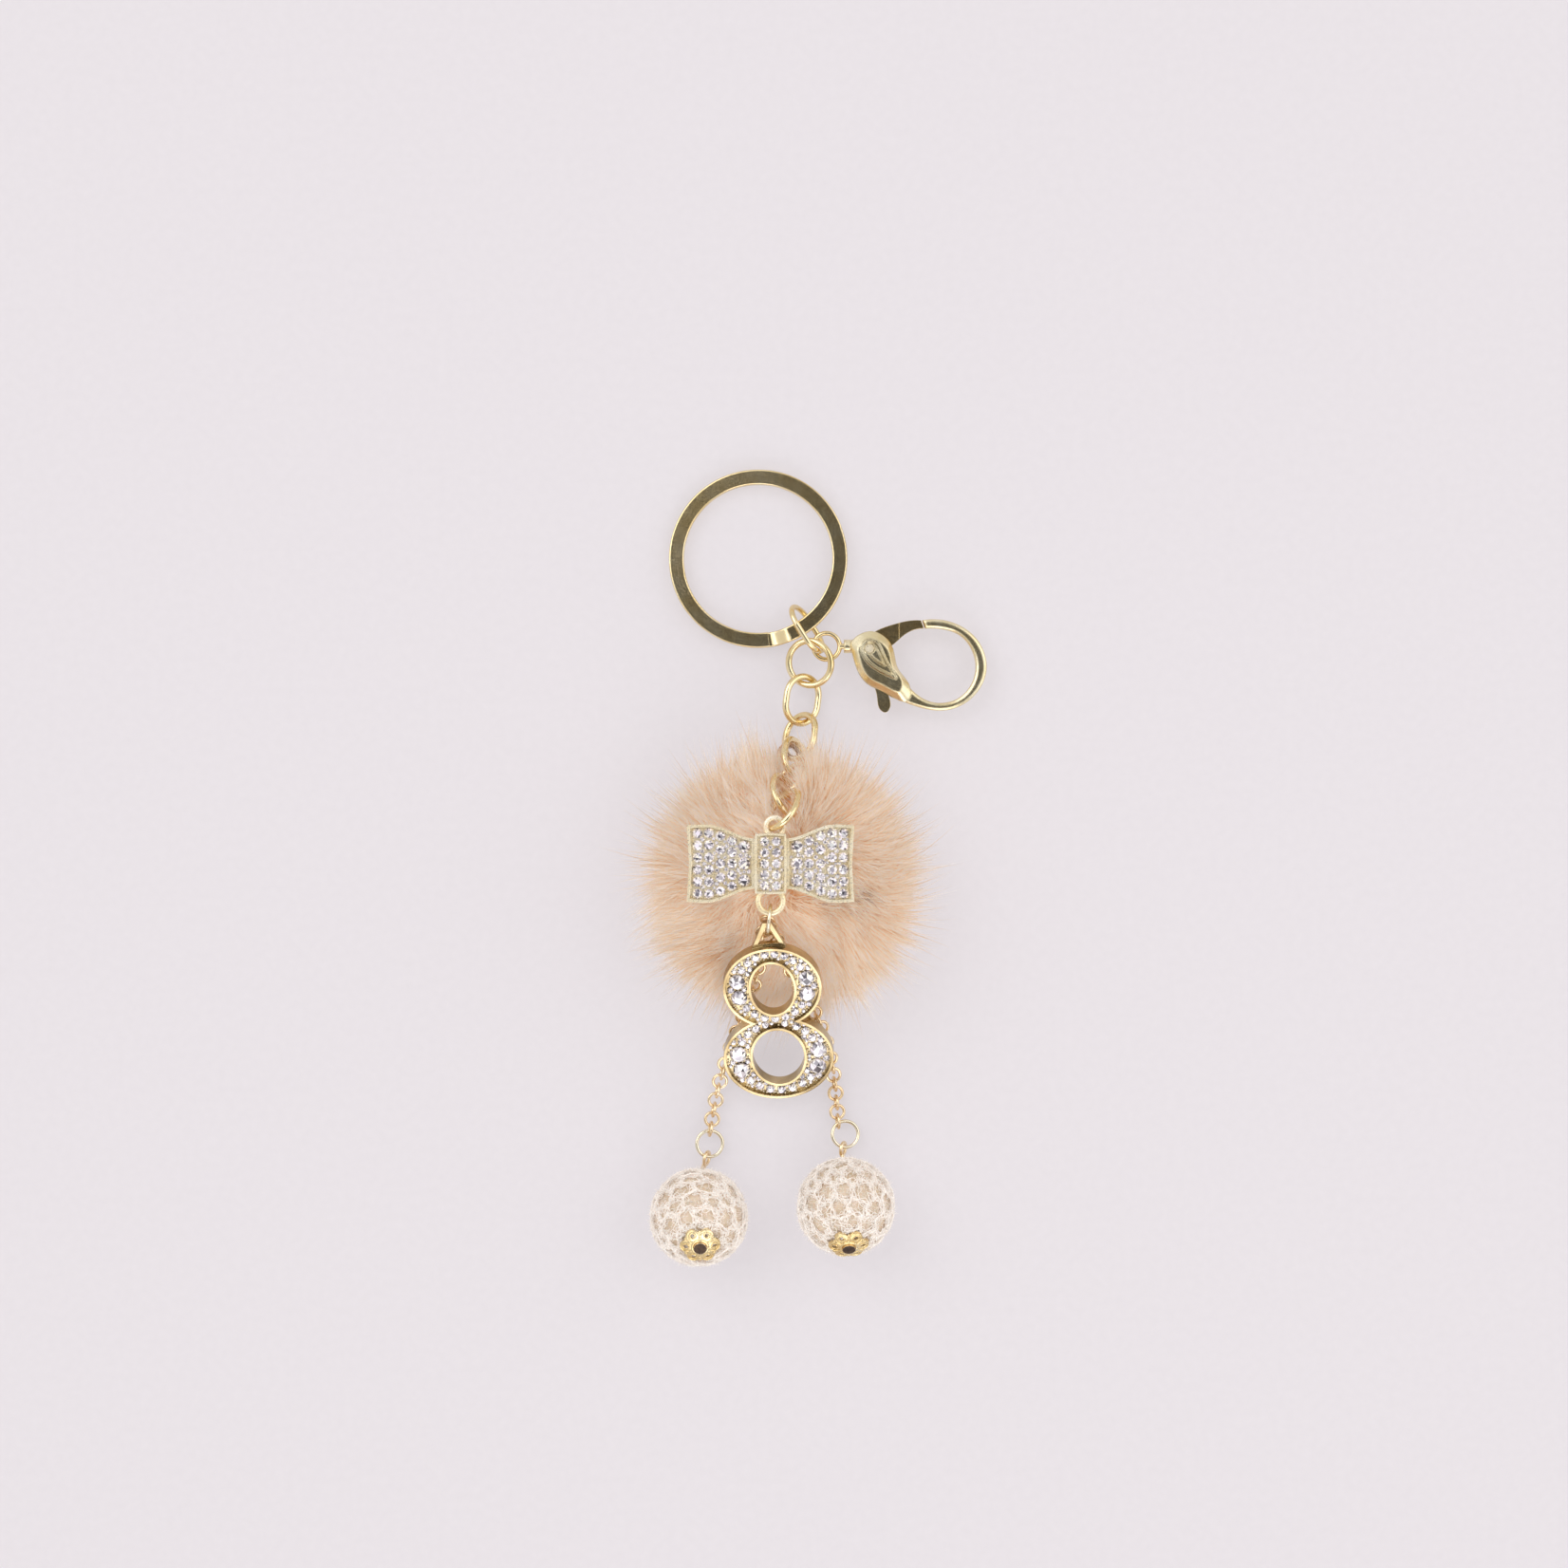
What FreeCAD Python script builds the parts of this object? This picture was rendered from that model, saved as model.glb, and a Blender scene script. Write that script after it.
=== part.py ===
"""Plush keychain laid flat: split ring, lobster clasp, link chain, fur pompom,
rhinestone bow, numeral pendant and two netted beads on fine side chains.

Millimetres. X to the right, Y along the keychain towards the split ring, Z up from the
surface that the keychain lies on. The origin is below the middle of its bounding box.
"""
import FreeCAD, Part
import math
import os

V = FreeCAD.Vector
UP = V(0, 0, 1)
RIGHT = V(1, 0, 0)

# ---- driving dimensions ----
ORIGIN = V(5.9, -13.665, 0)  # the layout's own point that becomes the origin

RING_OUTER_R = 15.0          # split ring
RING_BAND_W = 2.5
RING_BAND_T = 1.0
RING_COIL_GAP = 0.05
RING_CENTRE = V(-4.3, 37.8, 0)
RING_TILT = 2.5              # it leans on the jump ring that passes under it
RING_LEAN_ANGLE = -56.0      # direction from the ring's centre to that jump ring
CRANK_START = 279.0          # where the lower coil starts to climb to the upper one
CRANK_END = 293.0

LINK_WIRE = 1.1              # main chain
LINK_LENGTH = 9.0
LINK_WIDTH = 7.6
ROUND_LINK_OD = 8.6

CLASP_Z = 3.0                # middle plane of the clasp
CLASP_HOOK_T = 2.8
CLASP_BODY_T = 5.0
CLASP_SLOT = 1.9
TRIGGER_T = 1.7
RIVET = V(14.3, 22.7, CLASP_Z)
RIVET_R = 0.8
RUNNING_GAP = 0.06
EYE_CENTRE = V(7.14, 23.1, CLASP_Z)
EYE_OD = 5.2
EYE_WIRE = 0.8
POST_R = 0.5
POST_END = 12.9
NECK_START = 10.05
NECK_END = 12.4
NECK_R = 1.15
POST_HEAD_R = 0.85
POST_HEAD_T = 0.4
HUB_R = 1.3
FULL_TIP_X = 19.3            # beyond here the trigger is as thick as the hook
SPRING_TURNS = 4
SPRING_LENGTH = 1.5
SPRING_R = 0.6
SPRING_WIRE = 0.16
SPRING_START = V(12.5, 20.4, CLASP_Z)

TOP_RING_SIZE = (9.6, 6.6, 0.95)     # length, width, wire
TOP_RING_CENTRE = V(3.87, 25.99, 3.11)
TOP_RING_ALONG = V(0.533, -0.846, 0.012)
TOP_RING_ROLL = -112.4

FUR_CENTRE = V(-0.2, -16.6, 10.2)
FUR_R = 19.0
FUR_HALF_HEIGHT = 10.2
CORE_R = 8.0
CORE_UNDERSIDE = 0.6
LOOP_SIZE = (17.0, 4.6, 1.2)         # the pompom's stitched loop: length, width, cord
LOOP_CENTRE = V(0.25, -1.04, 5.18)
LOOP_ALONG = V(-0.123, -0.992, 0.315)
LOOP_ROLL = 10

BOW_CENTRE = V(-2.2, -13.0, 21.0)   # underside of the plate
BOW_HALF_W = 13.7
BOW_PLATE_T = 1.2
BOW_RIM_W = 0.5
BOW_RIM_H = 0.8
BOW_KNOT_HALF_W = 2.55
BOW_KNOT_HALF_H = 4.85
BOW_KNOT_RISE = 0.7
BOW_KNOT_RIM_W = 0.35
BOW_EYELET = V(0.7, 6.0, 0.6)        # from the bow's middle
BOW_EYELET_OD = 3.9
BOW_EYELET_WIRE = 0.9
BOW_HANGER = V(0, -6.1, 0.6)
BOW_HANGER_OD = 5.1
BOW_HANGER_WIRE = 1.0
WING_STONES = [(4.3, 1.1), (6.3, 0.92), (8.18, 0.92), (10.06, 0.92), (11.94, 0.92)]   # column, radius
KNOT_STONES = [(-0.97, 0.88), (0.97, 0.88)]
STONE_GAP = 0.02
STONE_SHARES = {"girdle": 0.98, "table": 0.55, "girdle_height": 0.3, "height": 0.85}   # of its radius

EIGHT_TILT = 32.0
EIGHT_LEAN = 4.2
EIGHT_TOP = V(-2.5, -25.96, 18.0)    # middle of the pendant's top edge
EIGHT_PLATE_T = 1.3
EIGHT_RIM_W = 0.45
EIGHT_RIM_H = 0.8
# each loop's outside and hole as (middle below the top edge, half width, half height), then the
# radius of its large and small stones with their angles round the loop
EIGHT_LOOPS = [
    {
        "outside": (7.95, 8.15, 7.95),
        "hole": (8.1, 3.55, 5.05),
        "large": (1.5, (12, -16, 168, 196)),
        "small": (0.8, (34, 50, 66, 82, 98, 114, 130, 146, -38, -55, -72.5, -90, -107.5, -125, -142)),
    },
    {
        "outside": (22.1, 9.2, 8.2),
        "hole": (21.85, 4.3, 5.45),
        "large": (1.6, (8, -20, 172, 200)),
        "small": (0.85, (30, 45, 60, 120, 135, 150, -42, -58, -74, -90, -106, -122, -138)),
    },
]
BAIL_TOP = 4.45
CONNECTOR_OD = 5.2
CONNECTOR_CENTRE = V(-2.4, -22.11, 20.62)
CONNECTOR_ALONG = V(-0.1, -1, 0)
CONNECTOR_ROLL = 89

THIN_WIRE = 0.6              # jump rings of the side chains
THIN_RING_OD = 5.0
ROLO_OD = 2.8
ROLO_WIRE = 0.5
ROLO_PITCH = 1.7
ROLO_ROLLS = (10, 100)

BEAD_R = 7.5
NET_R = 8.0
NET_MOUTH_R = 0.9
CAP_R = 8.05
CAP_T = 0.4
PIN_R = 0.4
PIN_GAP = 0.1
PIN_HEAD_R = 1.1
PIN_HEAD_T = 0.45
PIN_TAIL = 0.35              # how far the shank leaves the bead before it bends
PETALS = 6
PETAL_R = 1.15
PETAL_AT = 2.2
PETAL_HOLE_R = 0.42
PETAL_HOLE_AT = 2.35
FLOWER_MIDDLE_R = 1.75
PLAIN_CAP_R = 2.2
EYE_LOOP_OD = 2.8
EYE_LOOP_ROLL = 70


# ---- helpers ----
def lay(shape, centre, along, roll=0.0):
    """Place a shape with its local Y along a direction, rolled about that direction."""
    along = V(along).normalize()
    side = along.cross(UP).normalize()
    rise = side.cross(along)
    turn = math.radians(roll)
    width = side * math.cos(turn) + rise * math.sin(turn)
    face = width.cross(along)
    matrix = FreeCAD.Matrix(
        width.x, along.x, face.x, centre.x,
        width.y, along.y, face.y, centre.y,
        width.z, along.z, face.z, centre.z,
        0, 0, 0, 1,
    )
    placed = shape.copy()
    placed.Placement = FreeCAD.Placement(matrix).multiply(placed.Placement)
    return placed


def wire_ring(outer_d, wire):
    """Round ring of round wire in the XY plane."""
    return Part.makeTorus((outer_d - wire) / 2, wire / 2)


def oval_link(length, width, wire):
    """Link of round wire with two straight sides, long axis along Y."""
    radius = (width - wire) / 2
    half = (length - wire) / 2 - radius
    corners = [V(radius, half, 0), V(-radius, half, 0), V(-radius, -half, 0), V(radius, -half, 0)]
    path = Part.Wire([
        Part.Arc(corners[0], V(0, half + radius, 0), corners[1]).toShape(),
        Part.makeLine(corners[1], corners[2]),
        Part.Arc(corners[2], V(0, -half - radius, 0), corners[3]).toShape(),
        Part.makeLine(corners[3], corners[0]),
    ])
    section = Part.Wire([Part.makeCircle(wire / 2, corners[0], V(0, 1, 0))])
    return path.makePipeShell([section], True, False)


def bent_wire(points, radius):
    """Round wire along straight runs with ball corners."""
    pieces = []
    for start, end in zip(points, points[1:]):
        run = end - start
        pieces.append(Part.makeCylinder(radius, run.Length, start, run))
    for corner in points[1:-1]:
        pieces.append(Part.makeSphere(radius, corner))
    return pieces[0].fuse(pieces[1:])


def outline(*runs):
    """Face inside runs of (x, y) points; a run of two points is straight, more make a curve."""
    edges = []
    for run in runs:
        points = [V(x, y, 0) for x, y in run]
        if len(points) == 2:
            edges.append(Part.makeLine(points[0], points[1]))
        else:
            curve = Part.BSplineCurve()
            curve.interpolate(points)
            edges.append(curve.toShape())
    return Part.Face(Part.Wire(edges))


def smooth_face(points):
    """Face inside one smooth closed curve."""
    curve = Part.BSplineCurve()
    curve.interpolate(Points=[V(x, y, 0) for x, y in points], PeriodicFlag=True)
    return Part.Face(Part.Wire([curve.toShape()]))


def polygon(points):
    return Part.Face(Part.makePolygon([V(x, y, 0) for x, y in points] + [V(*points[0], 0)]))


def slab(face, bottom, top):
    """Solid above a flat face, between two heights."""
    return face.translated(V(0, 0, bottom)).extrude(V(0, 0, top - bottom))


def round_rims(solid, radius):
    """Round the edges of a slab's upper and lower faces."""
    return solid.makeFillet(radius, [e for e in solid.Edges if e.BoundBox.ZLength < 1e-6])


def save(name, *shapes):
    """Write one sub-part, moved so that the part's origin is at zero."""
    shape = shapes[0] if len(shapes) == 1 else Part.makeCompound(list(shapes))
    shape.translated(ORIGIN * -1).exportStep(f"parts/{name}.step")


# ---- split ring: two coils of flat wire joined by a crank ----
def band_section(angle, height):
    """Rounded rectangular section of the flat wire, at an angle round the ring."""
    corner = 0.25
    x, z = RING_BAND_W / 2, RING_BAND_T / 2
    cut = corner * (1 - math.sqrt(0.5))
    marks = []
    for sx, sz in ((1, 1), (-1, 1), (-1, -1), (1, -1)):
        before = V(sx * x, 0, sz * (z - corner))
        middle = V(sx * (x - cut), 0, sz * (z - cut))
        after = V(sx * (x - corner), 0, sz * z)
        marks.append((before, middle, after) if sx * sz > 0 else (after, middle, before))
    edges = []
    for here, following in zip(marks, marks[1:] + marks[:1]):
        edges.append(Part.Arc(*here).toShape())
        edges.append(Part.makeLine(here[2], following[0]))
    section = Part.Wire(edges)
    section.translate(V(RING_OUTER_R - RING_BAND_W / 2, 0, height))
    section.rotate(V(), UP, angle)
    return section


def coil(start, end, height):
    return Part.Face(band_section(start, height)).revolve(V(), UP, end - start)


def key_ring():
    low = RING_BAND_T / 2
    rise = RING_BAND_T + RING_COIL_GAP
    sections = []
    for step in range(6):
        t = step / 5
        height = low + rise * t * t * (3 - 2 * t)
        sections.append(band_section(CRANK_START + (CRANK_END - CRANK_START) * t, height))
    crank = Part.makeLoft(sections, True, False)
    lower = coil(CRANK_END + 2 - 360, CRANK_START, low)
    upper = coil(CRANK_END - 360, CRANK_START - 1.5, low + rise)
    ring = lower.fuse([crank, upper])
    ring.translate(RING_CENTRE)
    lean = V(math.cos(math.radians(RING_LEAN_ANGLE)), math.sin(math.radians(RING_LEAN_ANGLE)), 0)
    ring.rotate(RING_CENTRE - lean * RING_OUTER_R, UP.cross(lean), -RING_TILT)
    return ring


# ---- lobster clasp ----
HOOK_OUTER = [(23.15, 27.45), (27.2, 27.4), (31.9, 24.8), (34.0, 19.6), (31.9, 14.75),
              (27.2, 12.35), (22.5, 12.9), (17.8, 14.7)]
HOOK_INNER = [(18.7, 20.5), (19.45, 18.7), (20.9, 16.4), (24.85, 13.75), (29.5, 14.6),
              (32.1, 19.6), (29.3, 25.0), (26.5, 25.95), (23.65, 26.05)]
CHEEK = [(11.3, 23.9), (13.1, 25.3), (14.7, 25.6), (16.7, 24.8), (18.2, 22.9), (19.1, 19.4),
         (21.2, 15.9), (20.6, 13.9), (17.8, 14.8), (15.5, 15.95), (14.0, 16.8), (12.2, 19.3),
         (11.3, 22.3)]
SLOT = [(12.4, 28), (22, 28), (22, 19.2), (18.6, 18.2), (18.4, 11), (11, 11), (11, 19.4), (12.4, 19.4)]
ARM_TOP = [(13.6, 23.9), (14.9, 25.35), (16.9, 26.3), (19.0, 26.95), (21.3, 27.4), (22.95, 27.42)]
ARM_UNDER = [(23.45, 26.08), (22.0, 25.9), (20.2, 25.0), (18.6, 23.6), (16.6, 22.4), (14.6, 21.6)]
LEVER = [(15.4, 22.0), (16.3, 19.5), (17.3, 15.5), (17.7, 12.6), (17.1, 12.0), (16.3, 12.3),
         (15.6, 14.6), (14.8, 17.5), (14.3, 19.8), (13.9, 22.0)]
DROP_LARGE = [(18.6, 17.6), (15.6, 19.0), (13.3, 21.2), (12.9, 23.1), (13.8, 24.2), (15.1, 24.1),
              (16.3, 22.6), (17.5, 20.0)]
DROP_SMALL = [(16.8, 19.8), (15.2, 20.7), (14.1, 22.2), (14.1, 23.0), (14.7, 23.3), (15.3, 22.9),
              (16.2, 21.4)]
CHEEK_EDGE_HALF = 1.5                # half the cheeks' thickness at their edge
CHEEK_FLAT = 0.74                    # the flat of each cheek as a share of its outline
RIDGE_H = 0.22
RIDGE_INNER = 0.82                   # the drop's inner line as a share of its outer line


def clasp_body():
    """Casting with the hook, two cheeks round the trigger's slot and the neck's bore."""
    hook_half = CLASP_HOOK_T / 2
    body_half = CLASP_BODY_T / 2
    hook_face = outline(HOOK_OUTER, [HOOK_OUTER[-1], HOOK_INNER[0]], HOOK_INNER,
                        [HOOK_INNER[-1], HOOK_OUTER[0]])
    hook = round_rims(slab(hook_face, CLASP_Z - hook_half, CLASP_Z + hook_half), 0.5)
    cheeks = slab(smooth_face(CHEEK), CLASP_Z - CHEEK_EDGE_HALF, CLASP_Z + CHEEK_EDGE_HALF)
    for facing in (1, -1):
        cheeks = cheeks.fuse(cheek_slope(CLASP_Z + facing * CHEEK_EDGE_HALF, CLASP_Z + facing * body_half))
    start = V(NECK_START, EYE_CENTRE.y, CLASP_Z)
    neck = Part.makeCylinder(NECK_R, NECK_END - NECK_START, start, RIGHT)
    slot_half = CLASP_SLOT / 2
    slot = slab(polygon(SLOT), CLASP_Z - slot_half, CLASP_Z + slot_half)
    bore = Part.makeCylinder(POST_R + RUNNING_GAP, 4, start - RIGHT, RIGHT)
    rivet_hole = Part.makeCylinder(RIVET_R + 0.02, 8, RIVET - UP * 4)
    body = cheeks.fuse(hook).fuse(neck)
    for points in (DROP_LARGE, DROP_SMALL):
        body = body.fuse(drop_ridge(points, CLASP_Z + body_half))
    for gap in (slot, bore, rivet_hole):
        body = body.cut(gap)
    return body


def shrunk(points, share):
    """Points drawn in towards their middle."""
    middle_x = sum(x for x, _ in points) / len(points)
    middle_y = sum(y for _, y in points) / len(points)
    return [(middle_x + (x - middle_x) * share, middle_y + (y - middle_y) * share) for x, y in points]


def cheek_slope(edge_height, flat_height):
    """Sloping flank from the cheek's outline up to its smaller flat."""
    rim = smooth_face(CHEEK).OuterWire.translated(UP * edge_height)
    flat = smooth_face(shrunk(CHEEK, CHEEK_FLAT)).OuterWire.translated(UP * flat_height)
    return Part.makeLoft([rim, flat], True, False)


def drop_ridge(points, height):
    """Raised drop-shaped line, let into the cheek's face."""
    outer = slab(smooth_face(points), height - 0.4, height + RIDGE_H)
    return outer.cut(slab(smooth_face(shrunk(points, RIDGE_INNER)), 0, 20))


def clasp_trigger():
    arm = outline(ARM_TOP, [ARM_TOP[-1], ARM_UNDER[0]], ARM_UNDER, [ARM_UNDER[-1], ARM_TOP[0]])
    lever = outline(LEVER, [LEVER[-1], LEVER[0]])
    thin = TRIGGER_T / 2
    thick = CLASP_HOOK_T / 2
    plate = slab(arm, CLASP_Z - thin, CLASP_Z + thin)
    blade = slab(arm, CLASP_Z - thick, CLASP_Z + thick)
    outside = Part.makeBox(10, 10, 10, V(FULL_TIP_X, 20, CLASP_Z - 5))
    hub = Part.makeCylinder(HUB_R, TRIGGER_T, RIVET - UP * thin)
    tail = slab(lever, CLASP_Z - thin, CLASP_Z + thin)
    hole = Part.makeCylinder(RIVET_R + RUNNING_GAP, 8, RIVET - UP * 4)
    return plate.fuse([blade.common(outside), hub, tail]).cut(hole)


def clasp_rivet():
    length = CLASP_BODY_T - 0.5
    return Part.makeCylinder(RIVET_R, length, RIVET - UP * (length / 2))


def clasp_spring():
    """Small compression coil between the body's wall and the trigger's tail."""
    helix = Part.makeHelix(SPRING_LENGTH / SPRING_TURNS, SPRING_LENGTH, SPRING_R)
    section = Part.Wire([Part.makeCircle(SPRING_WIRE / 2, V(SPRING_R, 0, 0), V(0, 1, 0))])
    spring = Part.Wire(helix.Edges).makePipeShell([section], True, True)
    spring.rotate(V(), V(0, 1, 0), 90)
    spring.translate(SPRING_START)
    return spring


def clasp_eye():
    """Swivel eye with the post and head that turn in the clasp's neck."""
    ring = wire_ring(EYE_OD, EYE_WIRE)
    ring.translate(EYE_CENTRE)
    start = EYE_CENTRE + RIGHT * ((EYE_OD - EYE_WIRE) / 2)
    end = V(POST_END, EYE_CENTRE.y, CLASP_Z)
    post = Part.makeCylinder(POST_R, end.x - start.x, start, RIGHT)
    head = Part.makeCylinder(POST_HEAD_R, POST_HEAD_T, end - RIGHT * POST_HEAD_T, RIGHT)
    return ring.fuse([post, head])


# ---- main chain ----
# centre and roll of each link, from the jump ring to the bow
CHAIN = [
    (V(4.34, 20.27, 3.37), -17.5),
    (V(3.04, 14.1, 2.95), 35),
    (V(2.67, 7.91, 3.26), -43.6),
    (V(1.97, 3.91, 7.18), 47.4),
    (V(1.0, 0.7, 11.29), -50),
    (V(0.2, -1.89, 15.69), 42),
    (V(-0.18, -4.21, 19.57), -56.2),
]
CHAIN_START = V(4.57, 23.8, 4.97)     # what the first and last links point at
CHAIN_END = V(-1.5, -7.6, 21.8)


def chain_directions():
    stops = [CHAIN_START] + [centre for centre, _ in CHAIN] + [CHAIN_END]
    return [after - before for before, after in zip(stops, stops[2:])]


def chain_links():
    links = []
    for number, ((centre, roll), along) in enumerate(zip(CHAIN, chain_directions())):
        if number == 0:
            shape = wire_ring(ROUND_LINK_OD, LINK_WIRE)
        else:
            shape = oval_link(LINK_LENGTH, LINK_WIDTH, LINK_WIRE)
        links.append(lay(shape, centre, along, roll))
    return links


# ---- pompom: stuffed core inside a fur hide, hung on a stitched loop ----
# profiles of the two hollows as (along the keychain, height), and their sides
PARTING = [(12, 0), (2.5, 0), (-0.5, 3.5), (-8.0, 15.5), (-12, 18.3), (-12, 40), (12, 40)]
PARTING_LEFT = -5.2
PARTING_W = 12.4
DENT_SLOPE_BELOW = 4.4
DENT_LEFT = -14.5
DENT_W = 25.0


def fur_solid():
    """Squashed ball, parted where the chain climbs it and pressed flat under the pendant."""
    side = FUR_CENTRE + V(FUR_R, 0, 0)
    top = FUR_CENTRE + UP * FUR_HALF_HEIGHT
    limit = math.radians(85)
    arc = Part.Ellipse(side, top, FUR_CENTRE).toShape(-limit, limit)
    low, high = sorted((vertex.Point for vertex in arc.Vertexes), key=lambda point: point.z)
    low_axis = V(FUR_CENTRE.x, FUR_CENTRE.y, low.z)
    high_axis = V(FUR_CENTRE.x, FUR_CENTRE.y, high.z)
    lines = [Part.makeLine(high, high_axis), Part.makeLine(high_axis, low_axis), Part.makeLine(low_axis, low)]
    ball = Part.Face(Part.Wire([arc] + lines)).revolve(FUR_CENTRE, UP, 360)
    ball.translate(V(0, 0, -low.z))
    for hollow in (chain_parting(), pendant_dent(), soft_core(), loop_cord()):
        ball = ball.cut(hollow)
    return ball


def chain_parting():
    """Groove along the front of the fur for the climbing chain."""
    wire = Part.makePolygon([V(PARTING_LEFT, y, z) for y, z in PARTING + PARTING[:1]])
    return Part.Face(wire).extrude(RIGHT * PARTING_W)


def pendant_dent():
    """Everything over the slope that the pendant and the side chains lie on."""
    slope_end = under_eight(-60) - DENT_SLOPE_BELOW
    profile = [(-17.0, 60), (-17.0, 17.6), (-21.0, 14.0), (-60, slope_end), (-60, 60)]
    wire = Part.makePolygon([V(DENT_LEFT, y, z) for y, z in profile + profile[:1]])
    return Part.Face(wire).extrude(RIGHT * DENT_W)


def soft_core():
    return Part.makeSphere(CORE_R, V(FUR_CENTRE.x, FUR_CENTRE.y, CORE_R + CORE_UNDERSIDE))


def loop_cord():
    return lay(oval_link(*LOOP_SIZE), LOOP_CENTRE, LOOP_ALONG, LOOP_ROLL)


# ---- bow ----
def wing_half_height(x):
    """Half the bow's height at a distance from its middle."""
    t = min(1.0, max(0.0, (x - BOW_KNOT_HALF_W) / 8.0))
    return 4.1 + 2.35 * t * t * (3 - 2 * t) - 0.06 * max(0.0, x - 10.5)


def wing_face(inset=0.0):
    """One wing's outline, drawn in by a distance all round."""
    near = BOW_KNOT_HALF_W + inset
    far = BOW_HALF_W - inset
    top = []
    for i in range(9):
        x = near + (far - near) * i / 8
        top.append((x, wing_half_height(x) - inset))
    bottom = [(x, -y) for x, y in reversed(top)]
    return polygon(top + [(far - 0.4, 0)] + bottom)


def knot_face(inset=0.0):
    x, y = BOW_KNOT_HALF_W - inset, BOW_KNOT_HALF_H - inset
    return polygon([(-x, -y), (0, -y - 0.15), (x, -y), (x, y), (0, y + 0.15), (-x, y)])


def stone_columns(columns, half_height, height):
    """Columns of stones, each spread evenly over the height that its rims leave."""
    stones = []
    for x, radius in columns:
        reach = half_height(abs(x)) - radius
        rows = int(reach / (radius + STONE_GAP / 2)) + 1
        pitch = 2 * reach / (rows - 1)
        stones += [stone(radius, x, row * pitch - reach, height) for row in range(rows)]
    return stones


def bow_parts():
    """The bow casting with its two loops, and its stones by group."""
    rim_top = BOW_PLATE_T + BOW_RIM_H
    plate = slab(wing_face(), 0, rim_top).cut(slab(wing_face(BOW_RIM_W), BOW_PLATE_T, 5))
    knot_top = rim_top + BOW_KNOT_RISE
    knot_floor = knot_top - BOW_KNOT_RISE + 0.1
    casting = slab(knot_face(), 0, knot_top).cut(slab(knot_face(BOW_KNOT_RIM_W), knot_floor, 9))
    eyelet = wire_ring(BOW_EYELET_OD, BOW_EYELET_WIRE)
    eyelet.translate(BOW_EYELET)
    hanger = wire_ring(BOW_HANGER_OD, BOW_HANGER_WIRE)
    hanger.translate(BOW_HANGER)
    for piece in (plate, plate.mirror(V(), RIGHT), eyelet, hanger):
        casting = casting.fuse(piece)
    right = stone_columns(WING_STONES, lambda x: wing_half_height(x) - BOW_RIM_W, BOW_PLATE_T)
    mirrored = [(-x, radius) for x, radius in WING_STONES]
    left = stone_columns(mirrored, lambda x: wing_half_height(x) - BOW_RIM_W, BOW_PLATE_T)
    knot = stone_columns(KNOT_STONES, lambda x: BOW_KNOT_HALF_H - BOW_KNOT_RIM_W, knot_floor)
    return [[shape.translated(BOW_CENTRE) for shape in group] for group in ([casting], left, right, knot)]


def stone(radius, x, y, height):
    """Flat-backed rhinestone: octagonal table, sixteen crown facets and a low girdle."""
    def ring(share, z, shift):
        corners = []
        for i in range(8):
            angle = math.radians(45 * i + shift)
            corners.append(V(share * radius * math.cos(angle), share * radius * math.sin(angle), z))
        return corners

    shares = STONE_SHARES
    back = ring(shares["girdle"], 0, 22.5)
    girdle = ring(shares["girdle"], shares["girdle_height"] * radius, 22.5)
    table = ring(shares["table"], shares["height"] * radius, 0)
    faces = [table, back]
    for i in range(8):
        following = (i + 1) % 8
        faces.append([back[i], back[following], girdle[following], girdle[i]])
        faces.append([girdle[i], girdle[following], table[following]])
        faces.append([table[i], table[following], girdle[i]])
    shell = Part.Shell([Part.Face(Part.makePolygon(face + face[:1])) for face in faces])
    gem = Part.Solid(shell)
    if gem.Volume < 0:
        gem.reverse()
    return gem.translated(V(x, y, height))


# ---- connector ring and numeral pendant ----
def connector_ring():
    ring = wire_ring(CONNECTOR_OD, THIN_WIRE)
    return lay(ring, CONNECTOR_CENTRE, CONNECTOR_ALONG, CONNECTOR_ROLL)


def under_eight(y):
    """Height of the pendant's underside at a distance along the keychain."""
    return EIGHT_TOP.z + (y - EIGHT_TOP.y) * math.tan(math.radians(EIGHT_TILT))


def oval_face(below, half_w, half_h, grow=0.0):
    """Oval face whose middle is a distance below the pendant's top edge."""
    half_w, half_h = half_w + grow, half_h + grow
    centre = V(0, -below, 0)
    if half_w >= half_h:
        curve = Part.Ellipse(centre + V(half_w, 0, 0), centre + V(0, half_h, 0), centre)
    else:
        curve = Part.Ellipse(centre + V(0, half_h, 0), centre + V(-half_w, 0, 0), centre)
    return Part.Face(Part.Wire([curve.toShape()]))


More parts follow.
